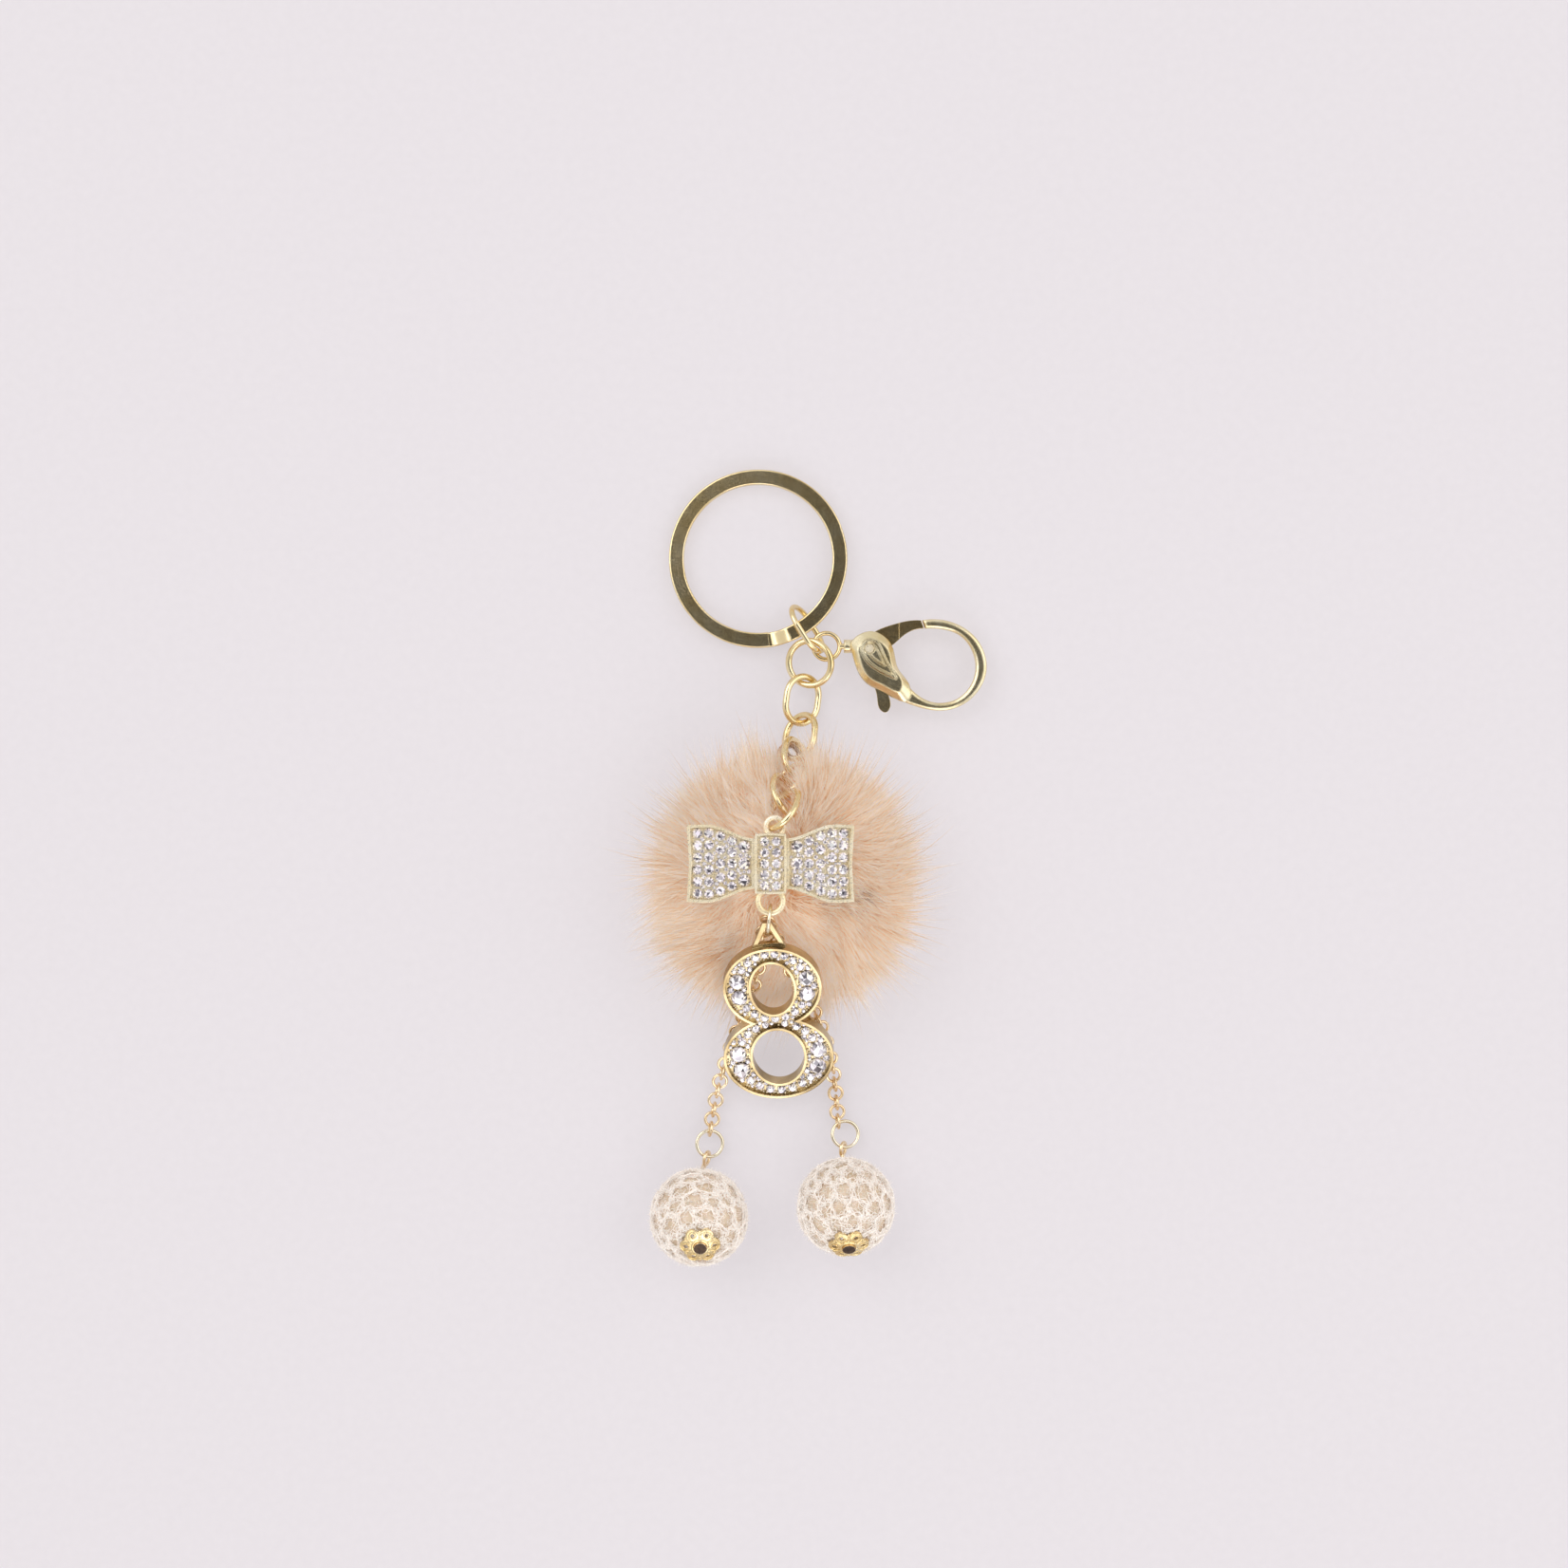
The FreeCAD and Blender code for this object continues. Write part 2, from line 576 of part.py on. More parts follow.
def eight_parts():
    """The pendant's casting with its bail, its large stones and its small stones."""
    top = EIGHT_PLATE_T + EIGHT_RIM_H
    outer = [slab(oval_face(*loop["outside"]), 0, top) for loop in EIGHT_LOOPS]
    field = [slab(oval_face(*loop["outside"], -EIGHT_RIM_W), EIGHT_PLATE_T, 5) for loop in EIGHT_LOOPS]
    walls = [slab(oval_face(*loop["hole"], EIGHT_RIM_W), EIGHT_PLATE_T - 0.5, top) for loop in EIGHT_LOOPS]
    holes = [slab(oval_face(*loop["hole"]), -1, 9) for loop in EIGHT_LOOPS]
    body = outer[0].fuse(outer[1]).cut(field).fuse(walls).cut(holes)
    bail = slab(polygon([(-2.9, -0.6), (2.9, -0.6), (0.7, BAIL_TOP), (-0.7, BAIL_TOP)]), 0.1, 1.1)
    bail_hole = slab(polygon([(-1.75, 0.35), (1.75, 0.35), (0.3, 3.5), (-0.3, 3.5)]), 0, 3)
    body = body.fuse(bail.cut(bail_hole))
    large = [gem for loop in EIGHT_LOOPS for gem in loop_stones(loop, "large")]
    small = [gem for loop in EIGHT_LOOPS for gem in loop_stones(loop, "small")]
    return [[place_eight(shape) for shape in group] for group in ([body], large, small)]


def loop_stones(loop, size):
    """Stones of one size, half-way between a loop's outside and its hole."""
    below, half_w, half_h = loop["outside"]
    _, hole_w, hole_h = loop["hole"]
    radius, angles = loop[size]
    stones = []
    for angle in angles:
        turn = math.radians(angle)
        x = (half_w + hole_w) / 2 * math.cos(turn)
        y = (half_h + hole_h) / 2 * math.sin(turn) - below
        stones.append(stone(radius, x, y, EIGHT_PLATE_T))
    return stones


def place_eight(shape):
    placed = shape.copy()
    placed.rotate(V(), UP, EIGHT_LEAN)
    placed.rotate(V(), RIGHT, EIGHT_TILT)
    placed.translate(EIGHT_TOP)
    return placed


# ---- side chains of small round links, each with a jump ring and a bead ----
CHAIN_TABLE_Z = 1.42
PATH_BELOW_EIGHT = 1.95
RING_ROLL = 10
START_REACH = 3.0            # how far each chain hangs straight from the connector ring
RING_REACH = (THIN_RING_OD - THIN_WIRE) / 2 + 0.3    # from a ring's middle to what hangs on it

# where each chain starts on the connector ring and what it passes, then its ring and bead
SIDES = {
    "left": {
        "start": V(-2.7, -22.41, 18.0),
        "start_along": V(-0.26, -0.35, -0.9),
        "path": [(-4.2, -31), (-6.6, -38), (-9.6, -46), (-11.4, -52)],
        "ring": V(-12.5, -60.5, 1.4),
        "ring_along": V(-0.05, -1, 0),
        "eye_along": V(-0.2, -1, 0),
        "bead": V(-14.2, -72.2, 8.25),
        "rise": 60,
        "swing": 5,
    },
    "right": {
        "start": V(-2.28, -23.79, 18.54),
        "start_along": V(0.33, -0.54, -0.77),
        "path": [(1.2, -31), (5.2, -37.8), (7.4, -44), (8.6, -50)],
        "ring": V(10.3, -58.9, 1.4),
        "ring_along": V(0.49, -0.87, 0),
        "eye_along": V(-0.15, -1, 0),
        "bead": V(10.3, -70.4, 8.25),
        "rise": 42,
        "swing": 4,
    },
}


def side_chain(side):
    """Small links along a path: down the slope under the pendant, then on the table."""
    points = [side["start"], side["start"] + side["start_along"] * START_REACH]
    for x, y in side["path"]:
        points.append(V(x, y, max(CHAIN_TABLE_Z, under_eight(y) - PATH_BELOW_EIGHT)))
    end = side["ring"] - V(side["ring_along"]).normalize() * RING_REACH
    points.append(V(end.x, end.y, CHAIN_TABLE_Z))
    curve = Part.BSplineCurve()
    curve.buildFromPoles(points, False, 2)
    count = 2 * math.ceil((curve.length() / ROLO_PITCH + 1) / 2)
    stops = curve.toShape().discretize(Number=count)
    links = []
    for i, stop in enumerate(stops):
        along = stops[min(i + 1, count - 1)] - stops[max(i - 1, 0)]
        links.append(lay(wire_ring(ROLO_OD, ROLO_WIRE), stop, along, ROLO_ROLLS[i % 2]))
    return links


def in_thirds(items):
    third = round(len(items) / 3)
    return [items[:third], items[third:2 * third], items[2 * third:]]


# ---- beads ----
def in_bead(shape, side):
    """Turn a shape built round local Z, pointing out of the cap, into the bead's place."""
    placed = shape.copy()
    placed.rotate(V(), RIGHT, 90 - side["rise"])
    placed.rotate(V(), UP, side["swing"])
    placed.translate(side["bead"])
    return placed


def pin_hole():
    return Part.makeCylinder(PIN_R + PIN_GAP, 40, V(0, 0, -20))


def pearl():
    return Part.makeSphere(BEAD_R).cut(pin_hole())


def net():
    """Sleeve of netting, here a plain thin shell with its two gathered mouths."""
    shell = Part.makeSphere(NET_R).cut(Part.makeSphere(BEAD_R + 0.03))
    return shell.cut(Part.makeCylinder(NET_MOUTH_R, 40, V(0, 0, -20)))


def cap_shell():
    return Part.makeSphere(CAP_R + CAP_T).cut(Part.makeSphere(CAP_R))


def flower_cap():
    """Six-petal filigree cap on the bead's lower end."""
    petals = Part.makeCylinder(FLOWER_MIDDLE_R, 12)
    lace = [pin_hole()]
    for i in range(PETALS):
        angle = math.radians(360 * i / PETALS)
        direction = V(math.cos(angle), math.sin(angle), 0)
        petals = petals.fuse(Part.makeCylinder(PETAL_R, 12, direction * PETAL_AT))
        lace.append(Part.makeCylinder(PETAL_HOLE_R, 12, direction * PETAL_HOLE_AT))
    return cap_shell().common(petals).cut(lace)


def plain_cap():
    """Small round cap on the bead's upper end."""
    disc = Part.makeCylinder(PLAIN_CAP_R, 12, V(0, 0, -12))
    return cap_shell().common(disc).cut(pin_hole())


def eye_centre(side):
    """Middle of the pin's eye, hooked over the side chain's ring."""
    return side["ring"] + V(side["eye_along"]).normalize() * RING_REACH


def bead_pin(side):
    """Head pin: flat head on the cap, shank through the pearl, bent to a horizontal eye."""
    centre = side["bead"]
    pole = CAP_R + CAP_T
    head = in_bead(Part.makeCylinder(PIN_HEAD_R, PIN_HEAD_T, V(0, 0, pole)), side)
    out = (head.CenterOfMass - centre).normalize()
    exit_point = centre - out * (pole + PIN_TAIL)
    low = exit_point + V(0, 0.5, 0)
    eye = eye_centre(side)
    back = (low - eye).normalize()
    joined = eye + back * ((EYE_LOOP_OD - THIN_WIRE) / 2)
    loop = lay(wire_ring(EYE_LOOP_OD, THIN_WIRE), eye, side["eye_along"], EYE_LOOP_ROLL)
    return head.fuse([bent_wire([centre + out * pole, exit_point, low, joined], PIN_R), loop])


# ---- write every sub-part ----
def main():
    os.makedirs("parts", exist_ok=True)
    save("key_ring", key_ring())
    save("top_ring", lay(oval_link(*TOP_RING_SIZE), TOP_RING_CENTRE, TOP_RING_ALONG, TOP_RING_ROLL))
    save("clasp_eye", clasp_eye())
    save("clasp_body", clasp_body())
    save("clasp_trigger", clasp_trigger())
    save("clasp_rivet", clasp_rivet())
    save("clasp_spring", clasp_spring())
    for number, link in enumerate(chain_links(), 1):
        save(f"chain_link_{number}", link)
    save("pompom_fur", fur_solid())
    save("pompom_core", soft_core().cut(loop_cord()))
    save("pompom_loop", loop_cord())
    bow = bow_parts()
    save("bow_casting", *bow[0])
    save("bow_left_stones", *bow[1])
    save("bow_right_stones", *bow[2])
    save("bow_knot_stones", *bow[3])
    save("connector_ring", connector_ring())
    eight = eight_parts()
    save("eight_casting", *eight[0])
    save("eight_large_stones", *eight[1])
    save("eight_small_stones", *eight[2])
    for name, side in SIDES.items():
        for third, group in zip(("upper", "middle", "lower"), in_thirds(side_chain(side))):
            save(f"{name}_chain_{third}", *group)
        ring = wire_ring(THIN_RING_OD, THIN_WIRE)
        save(f"{name}_ring", lay(ring, side["ring"], side["ring_along"], RING_ROLL))
        save(f"{name}_pearl", in_bead(pearl(), side))
        save(f"{name}_net", in_bead(net(), side))
        save(f"{name}_flower_cap", in_bead(flower_cap(), side))
        save(f"{name}_plain_cap", in_bead(plain_cap(), side))
        save(f"{name}_pin", bead_pin(side))


main()
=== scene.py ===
"""Looks of the plush keychain: fur, crystals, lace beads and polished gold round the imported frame."""
import math

import bmesh
import bpy
import numpy as np
from mathutils import Matrix, Vector
from mathutils.bvhtree import BVHTree
from mathutils.kdtree import KDTree


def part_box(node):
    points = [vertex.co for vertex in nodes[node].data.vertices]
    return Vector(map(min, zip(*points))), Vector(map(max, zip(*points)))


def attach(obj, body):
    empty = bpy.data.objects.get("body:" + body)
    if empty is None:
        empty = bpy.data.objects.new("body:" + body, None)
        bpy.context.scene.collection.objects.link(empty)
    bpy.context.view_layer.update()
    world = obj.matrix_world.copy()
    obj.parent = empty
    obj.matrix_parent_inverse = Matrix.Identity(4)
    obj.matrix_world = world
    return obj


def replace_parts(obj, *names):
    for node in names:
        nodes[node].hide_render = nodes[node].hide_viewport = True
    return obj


MM = 0.001
SEED = 7

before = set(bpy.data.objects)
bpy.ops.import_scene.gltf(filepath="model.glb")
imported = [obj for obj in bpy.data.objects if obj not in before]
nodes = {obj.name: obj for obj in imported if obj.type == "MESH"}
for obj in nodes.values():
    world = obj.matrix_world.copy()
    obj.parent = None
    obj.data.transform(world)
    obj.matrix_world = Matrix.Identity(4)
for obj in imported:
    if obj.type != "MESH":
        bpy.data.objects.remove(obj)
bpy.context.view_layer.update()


# ---- places, all from the frame ----
def middle(node):
    low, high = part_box(node)
    return (low + high) / 2


FUR_LOW, FUR_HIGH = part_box("pompom_fur")
FUR_MIDDLE = (FUR_LOW + FUR_HIGH) / 2
FUR_R = (FUR_HIGH.x - FUR_LOW.x) / 2
FUR_HALF_H = (FUR_HIGH.z - FUR_LOW.z) / 2
BOW_LOW, BOW_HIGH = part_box("bow_casting")
EIGHT_LOW, EIGHT_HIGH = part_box("eight_casting")
CHAIN = [middle(f"chain_link_{number}") for number in range(2, 8)]
EIGHT_TILT = math.radians(32)        # the pendant's slope over the fur
SIDES = ("left", "right")


# ---- node material helpers ----
class Shader:
    """A node material under construction."""

    def __init__(self, name):
        self.material = bpy.data.materials.new(name)
        self.material.use_nodes = True
        self.tree = self.material.node_tree
        self.bsdf = self.tree.nodes["Principled BSDF"]
        self.output = self.tree.nodes["Material Output"]

    def node(self, kind, inputs=None, **settings):
        made = self.tree.nodes.new(kind)
        for key, value in settings.items():
            setattr(made, key, value)
        for key, value in (inputs or {}).items():
            self.feed(made.inputs[key], value)
        return made

    def feed(self, socket, value):
        if isinstance(value, bpy.types.NodeSocket):
            self.tree.links.new(value, socket)
        else:
            socket.default_value = value

    def set(self, **inputs):
        for key, value in inputs.items():
            self.feed(self.bsdf.inputs[key.replace("_", " ").title().replace("Ior", "IOR")], value)

    def ramp(self, factor, stops):
        """Colour ramp through (position, hex colour) stops."""
        made = self.node("ShaderNodeValToRGB", {"Fac": factor})
        ramp = made.color_ramp
        while len(ramp.elements) < len(stops):
            ramp.elements.new(0.5)
        for element, (position, colour) in zip(ramp.elements, stops):
            element.position = position
            element.color = rgb(colour)
        return made.outputs["Color"]

    def math(self, operation, *values):
        made = self.node("ShaderNodeMath", operation=operation)
        for socket, value in zip(made.inputs, values):
            self.feed(socket, value)
        return made.outputs[0]

    def noise(self, scale, detail=3.0, vector=None):
        inputs = {"Scale": scale, "Detail": detail}
        if vector is not None:
            inputs["Vector"] = vector
        return self.node("ShaderNodeTexNoise", inputs).outputs["Fac"]

    def mixed(self, factor, first, second):
        """Blend of two colours."""
        made = self.node("ShaderNodeMix", data_type="RGBA")
        self.feed(made.inputs["Factor"], factor)
        self.feed(made.inputs[6], first)
        self.feed(made.inputs[7], second)
        return made.outputs[2]

    def blend(self, factor, first, second):
        """Blend of two shaders."""
        made = self.node("ShaderNodeMixShader", {"Fac": factor})
        self.tree.links.new(first, made.inputs[1])
        self.tree.links.new(second, made.inputs[2])
        return made.outputs[0]

    def soft_normal(self, centre, share):
        """Surface normal drawn towards the direction away from a centre, for fine hair on a ball."""
        place = self.node("ShaderNodeTexCoord").outputs["Object"]
        away = self.node("ShaderNodeVectorMath", operation="SUBTRACT")
        self.feed(away.inputs[0], place)
        away.inputs[1].default_value = centre
        unit_away = self.node("ShaderNodeVectorMath", operation="NORMALIZE")
        self.feed(unit_away.inputs[0], away.outputs[0])
        own = self.node("ShaderNodeNewGeometry").outputs["Normal"]
        blend = self.node("ShaderNodeMix", data_type="VECTOR")
        self.feed(blend.inputs["Factor"], share)
        self.feed(blend.inputs[4], own)
        self.feed(blend.inputs[5], unit_away.outputs[0])
        result = self.node("ShaderNodeVectorMath", operation="NORMALIZE")
        self.feed(result.inputs[0], blend.outputs[1])
        return result.outputs[0]

    def bump(self, height, strength, distance, normal=None):
        inputs = {"Height": height, "Strength": strength, "Distance": distance}
        if normal is not None:
            inputs["Normal"] = normal
        return self.node("ShaderNodeBump", inputs).outputs["Normal"]


def rgb(code):
    """Linear colour from a hex sRGB code."""
    values = [int(code[i:i + 2], 16) / 255 for i in (0, 2, 4)]
    linear = [v / 12.92 if v <= 0.04045 else ((v + 0.055) / 1.055) ** 2.4 for v in values]
    return (*linear, 1.0)


# ---- materials ----
def gold(name, light, deep, roughness, edge, metallic=1.0):
    """Polished plate: warm variation, faint handling scratches, softened edges."""
    s = Shader(name)
    place = s.node("ShaderNodeTexCoord").outputs["Object"]
    cloud = s.noise(220.0, 2.0, place)
    s.set(base_color=s.ramp(cloud, [(0.3, deep), (0.7, light)]), metallic=metallic)
    fine = s.noise(3200.0, 4.0, place)
    s.set(roughness=s.math("MULTIPLY_ADD", fine, roughness, roughness * 0.5))
    rounded = s.node("ShaderNodeBevel", {"Radius": edge}, samples=4).outputs["Normal"]
    s.set(normal=s.bump(fine, 0.06, 0.02 * MM, rounded))
    return s.material


def crystal():
    """Foil-backed rhinestone: painted reflections, every facet a random colour from dark grey to white,
    with painted glints glowing on the brightest.
    """
    s = Shader("crystal")
    geometry = s.node("ShaderNodeNewGeometry")
    facet = s.node("ShaderNodeVectorMath", operation="SCALE")
    s.feed(facet.inputs[0], geometry.outputs["True Normal"])
    facet.inputs["Scale"].default_value = 37.0
    island = geometry.outputs["Random Per Island"]
    cell = s.node("ShaderNodeTexWhiteNoise", {"Vector": facet.outputs[0], "W": island},
                  noise_dimensions="4D")
    painted_flash = cell.outputs["Value"]
    # painted reflections: each facet's colour is picked at random from dark grey to white
    s.set(base_color=s.ramp(painted_flash, [(0.0, "4E4A52"), (0.16, "8D8892"), (0.34, "C9C3CE"), (0.52, "F2EDF3"),
                                    (0.74, "FFFFFF"), (0.88, "E2D2EA"), (0.95, "FFF3DC")]))
    s.set(metallic=0.35, roughness=0.08, coat_weight=1.0, coat_roughness=0.02)
    # painted glints: the brightest facets glow
    painted_glint = s.math("MULTIPLY", s.math("GREATER_THAN", painted_flash, 0.8), 0.35)
    s.set(emission_color=(1, 1, 1, 1), emission_strength=painted_glint)
    return s.material


PAINTED_FUR_GLOW = 0.42             # painted glow: emission standing in for the light that pale hair passes on from hair to hair
GREY_FROM = 0.97             # hairs with a random value over this are grey-brown
WHITE_SHARE = 0.2
GOLDEN_SHARE = 0.25


def fur_hair():
    """Hair: deeper at the root, pale at the tip, every hair a little different."""
    s = Shader("fur_hair")
    uv = s.node("ShaderNodeUVMap", uv_map="OFBake").outputs["UV"]
    split = s.node("ShaderNodeSeparateXYZ", {"Vector": uv})
    own, along = split.outputs["X"], split.outputs["Y"]
    warm = s.ramp(along, [(0.0, "E8AE78"), (0.4, "FADAB4"), (0.7, "FEECD8"), (1.0, "FFFAF4")])
    cool = s.ramp(along, [(0.0, "D8A376"), (0.4, "F4D0AC"), (0.7, "FBE8D4"), (1.0, "FFF8F1")])
    pick = s.node("ShaderNodeTexWhiteNoise", {"W": own}, noise_dimensions="1D").outputs["Value"]
    white = s.ramp(along, [(0.0, "EFC9A0"), (0.35, "FCEAD6"), (0.7, "FFF7EE"), (1.0, "FFFDFA")])
    golden = s.ramp(along, [(0.0, "CB9054"), (0.4, "E4B178"), (0.7, "F2CFA4"), (1.0, "FBE6CC")])
    colour = s.mixed(pick, warm, cool)
    colour = s.mixed(s.math("GREATER_THAN", pick, 1 - WHITE_SHARE), colour, white)
    colour = s.mixed(s.math("LESS_THAN", pick, GOLDEN_SHARE), colour, golden)
    colour = s.mixed(s.math("GREATER_THAN", own, GREY_FROM), colour, rgb("9C8578"))
    s.set(base_color=colour, roughness=0.7, sheen_weight=0.4, sheen_roughness=0.4)
    s.bsdf.inputs["Sheen Tint"].default_value = rgb("FFF1E2")
    normal = s.soft_normal(FUR_MIDDLE, 0.6)
    # painted glow: the hair emits its own colour
    s.set(normal=normal, emission_color=colour, emission_strength=PAINTED_FUR_GLOW)
    through = s.node("ShaderNodeBsdfTranslucent", {"Color": colour, "Normal": normal}).outputs[0]
    hair = s.blend(0.45, s.bsdf.outputs[0], through)
    shadow = s.math("MULTIPLY", s.node("ShaderNodeLightPath").outputs["Is Shadow Ray"], 0.6)
    clear = s.node("ShaderNodeBsdfTransparent").outputs[0]
    s.tree.links.new(s.blend(shadow, hair, clear), s.output.inputs["Surface"])
    return s.material


def fur_skin():
    """Hide under the hair, in the hair's own shadowed colour as painted shade, with a painted glow."""
    s = Shader("fur_skin")
    place = s.node("ShaderNodeTexCoord").outputs["Object"]
    nap = s.noise(900.0, 5.0, place)
    s.set(base_color=s.ramp(nap, [(0.3, "D99C66"), (0.7, "EDBB88")]), roughness=0.95)
    s.set(normal=s.bump(nap, 0.8, 0.4 * MM))
    # painted glow in the hide's shadowed colour
    s.set(emission_color=rgb("E3AE79"), emission_strength=PAINTED_FUR_GLOW)
    return s.material


def thread(name, dark, light, painted_glow=0.0):
    """Twisted textile thread, with a painted glow (emission) standing in for the light that loose pale
    threads pass on to each other.
    """
    s = Shader(name)
    place = s.node("ShaderNodeTexCoord").outputs["Object"]
    fibre = s.noise(2600.0, 6.0, place)
    colour = s.ramp(fibre, [(0.25, dark), (0.6, light)])
    s.set(base_color=colour, roughness=0.8, sheen_weight=0.4)
    # painted glow: the thread emits its own colour
    s.set(normal=s.bump(fibre, 0.7, 0.15 * MM), emission_color=colour, emission_strength=painted_glow)
    return s.material


def pearl():
    """Lustre of an imitation pearl under the net."""
    s = Shader("pearl")
    place = s.node("ShaderNodeTexCoord").outputs["Object"]
    cloud = s.noise(300.0, 3.0, place)
    s.set(base_color=s.ramp(cloud, [(0.3, "D4BEA2"), (0.7, "E4D1BC")]), roughness=0.35)
    s.set(coat_weight=0.6, coat_roughness=0.1, subsurface_weight=0.1)
    s.bsdf.inputs["Subsurface Scale"].default_value = 2 * MM
    return s.material


def painted_eyelet_shade():
    """Painted shade: a dark sheet over the mouth of the bead's eyelet."""
    s = Shader("painted_eyelet_shade")
    place = s.node("ShaderNodeTexCoord").outputs["Object"]
    patch = s.noise(1800.0, 4.0, place)
    # dark colours painted as the shade inside the hole
    s.set(base_color=s.ramp(patch, [(0.3, "2E211C"), (0.7, "54402F")]), metallic=0.6, roughness=0.4)
    return s.material


def spring_steel():
    s = Shader("spring_steel")
    place = s.node("ShaderNodeTexCoord").outputs["Object"]
    drawn = s.noise(1500.0, 3.0, place)
    s.set(base_color=s.ramp(drawn, [(0.3, "8E8E90"), (0.7, "C4C4C6")]), metallic=1.0, roughness=0.3)
    return s.material


FLOOR_GLOW = 0.62            # the backdrop is lit from below as well


def paper():
    """Seamless pale backdrop."""
    s = Shader("paper")
    place = s.node("ShaderNodeTexCoord").outputs["Object"]
    grain = s.noise(700.0, 4.0, place)
    s.set(base_color=s.ramp(grain, [(0.2, "878487"), (0.8, "8D8A8D")]), roughness=0.9)
    s.set(emission_color=rgb("E9E3E7"), emission_strength=FLOOR_GLOW)
    return s.material


GOLD = gold("gold_plate", "F5E4BC", "E6CD96", 0.15, 0.12 * MM)
CAST_GOLD = gold("cast_gold", "F3E2B8", "DFC186", 0.18, 0.14 * MM)
CLASP_GOLD = gold("clasp_gold", "F8EDCC", "E8D5A4", 0.2, 0.45 * MM)
SETTING = gold("stone_setting", "FFF6E0", "F4E2BA", 0.3, 0.3 * MM, 0.55)
ANTIQUE = gold("antique_gold", "DDCAA2", "A08A64", 0.22, 0.12 * MM)
ROSE_GOLD = gold("rose_gold_plate", "F7E4C4", "E6C89C", 0.2, 0.08 * MM)
SILVER_GOLD = gold("silvery_gold_plate", "F6EEDA", "DFD0AE", 0.16, 0.08 * MM)
CRYSTAL = crystal()
HAIR = fur_hair()
SKIN = fur_skin()
LACE = thread("lace_thread", "F2E6DB", "FFFAF5", 0.1)
ELASTIC = thread("elastic_cord", "A8794F", "D2A476")
PEARL = pearl()
STEEL = spring_steel()
EYELET_SHADE = painted_eyelet_shade()


def dress(node, material):
    """Give a CAD node its finish, with smooth shading on its curved faces."""
    mesh = nodes[node].data
    mesh.materials.clear()
    mesh.materials.append(material)
    mesh.set_sharp_from_angle(angle=math.radians(35))


# ---- mesh helpers ----
def new_piece(name, vertices, faces, material, body, smooth=True):
    """Mesh piece from vertices in metres, riding on a body."""
    mesh = bpy.data.meshes.new(name)
    mesh.from_pydata([tuple(v) for v in vertices], [], [tuple(f) for f in faces])
    mesh.validate()
    piece = bpy.data.objects.new(name, mesh)
    bpy.context.scene.collection.objects.link(piece)
    mesh.materials.append(material)
    mesh.polygons.foreach_set("use_smooth", [smooth] * len(mesh.polygons))
    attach(piece, body)
    return piece


def islands(mesh):
    """Lists of vertex indices of a mesh's separate solids."""
    parent = list(range(len(mesh.vertices)))

    def root(i):
        while parent[i] != i:
            parent[i] = parent[parent[i]]
            i = parent[i]
        return i

    seen = {}
    for vertex in mesh.vertices:
        key = tuple(round(c, 7) for c in vertex.co)
        parent[root(vertex.index)] = root(seen.setdefault(key, vertex.index))
    for edge in mesh.edges:
        parent[root(edge.vertices[0])] = root(edge.vertices[1])
    groups = {}
    for i in range(len(parent)):
        groups.setdefault(root(i), []).append(i)
    return list(groups.values())


# ---- crystals ----
def brilliant():
    """Unit rhinestone: table, star, kite and girdle facets over a low base."""
    def ring(count, radius, height, turn):
        points = []
        for i in range(count):
            angle = 2 * math.pi * (i + turn) / count
            points.append(Vector((radius * math.cos(angle), radius * math.sin(angle), height)))
        return points

    table = ring(8, 0.52, 0.86, 0.0)
    star = ring(8, 0.80, 0.62, 0.5)
    girdle = ring(16, 0.99, 0.26, 0.0)
    base = ring(16, 0.97, 0.02, 0.0)
    points = table + star + girdle + base
    faces = [tuple(range(8)), tuple(reversed(range(32, 48)))]
    for i in range(8):
        j = (i + 1) % 8
        kite = 16 + (2 * i) % 16
        faces.append((i, 8 + i, j))
        faces.append((i, 8 + (i - 1) % 8, kite))
        faces.append((i, kite, 8 + i))
        faces.append((8 + i, kite, 16 + (2 * i + 1) % 16))
        faces.append((8 + i, 16 + (2 * i + 1) % 16, 16 + (2 * i + 2) % 16))
    for i in range(16):
        j = (i + 1) % 16
        faces.append((16 + i, 32 + i, 32 + j, 16 + j))
    return points, faces


GEM_POINTS, GEM_FACES = brilliant()


def seats(mesh, lean):
    """Middle of the foot and radius of every CAD stone, in the plate's own directions."""
    found = []
    for group in islands(mesh):
        corners = [lean.inverted() @ mesh.vertices[i].co for i in group]
        low = Vector([min(c[k] for c in corners) for k in range(3)])
        high = Vector([max(c[k] for c in corners) for k in range(3)])
        seat = Vector(((low.x + high.x) / 2, (low.y + high.y) / 2, low.z))
        found.append((seat, (high.x - low.x) / 2))
    return found


FLOOR_STEP = 0.05 * MM       # heights closer than this are one floor
FLOOR_ERROR = 0.06 * MM
RAY_HEIGHT = 4 * MM
FILLER_TRIES = 9000
FILLER_REACH = 2 * MM        # how far beyond the CAD stones small ones are tried
FILLER_OVERLAP = 0.97        # share of the radii that two stones keep between their middles


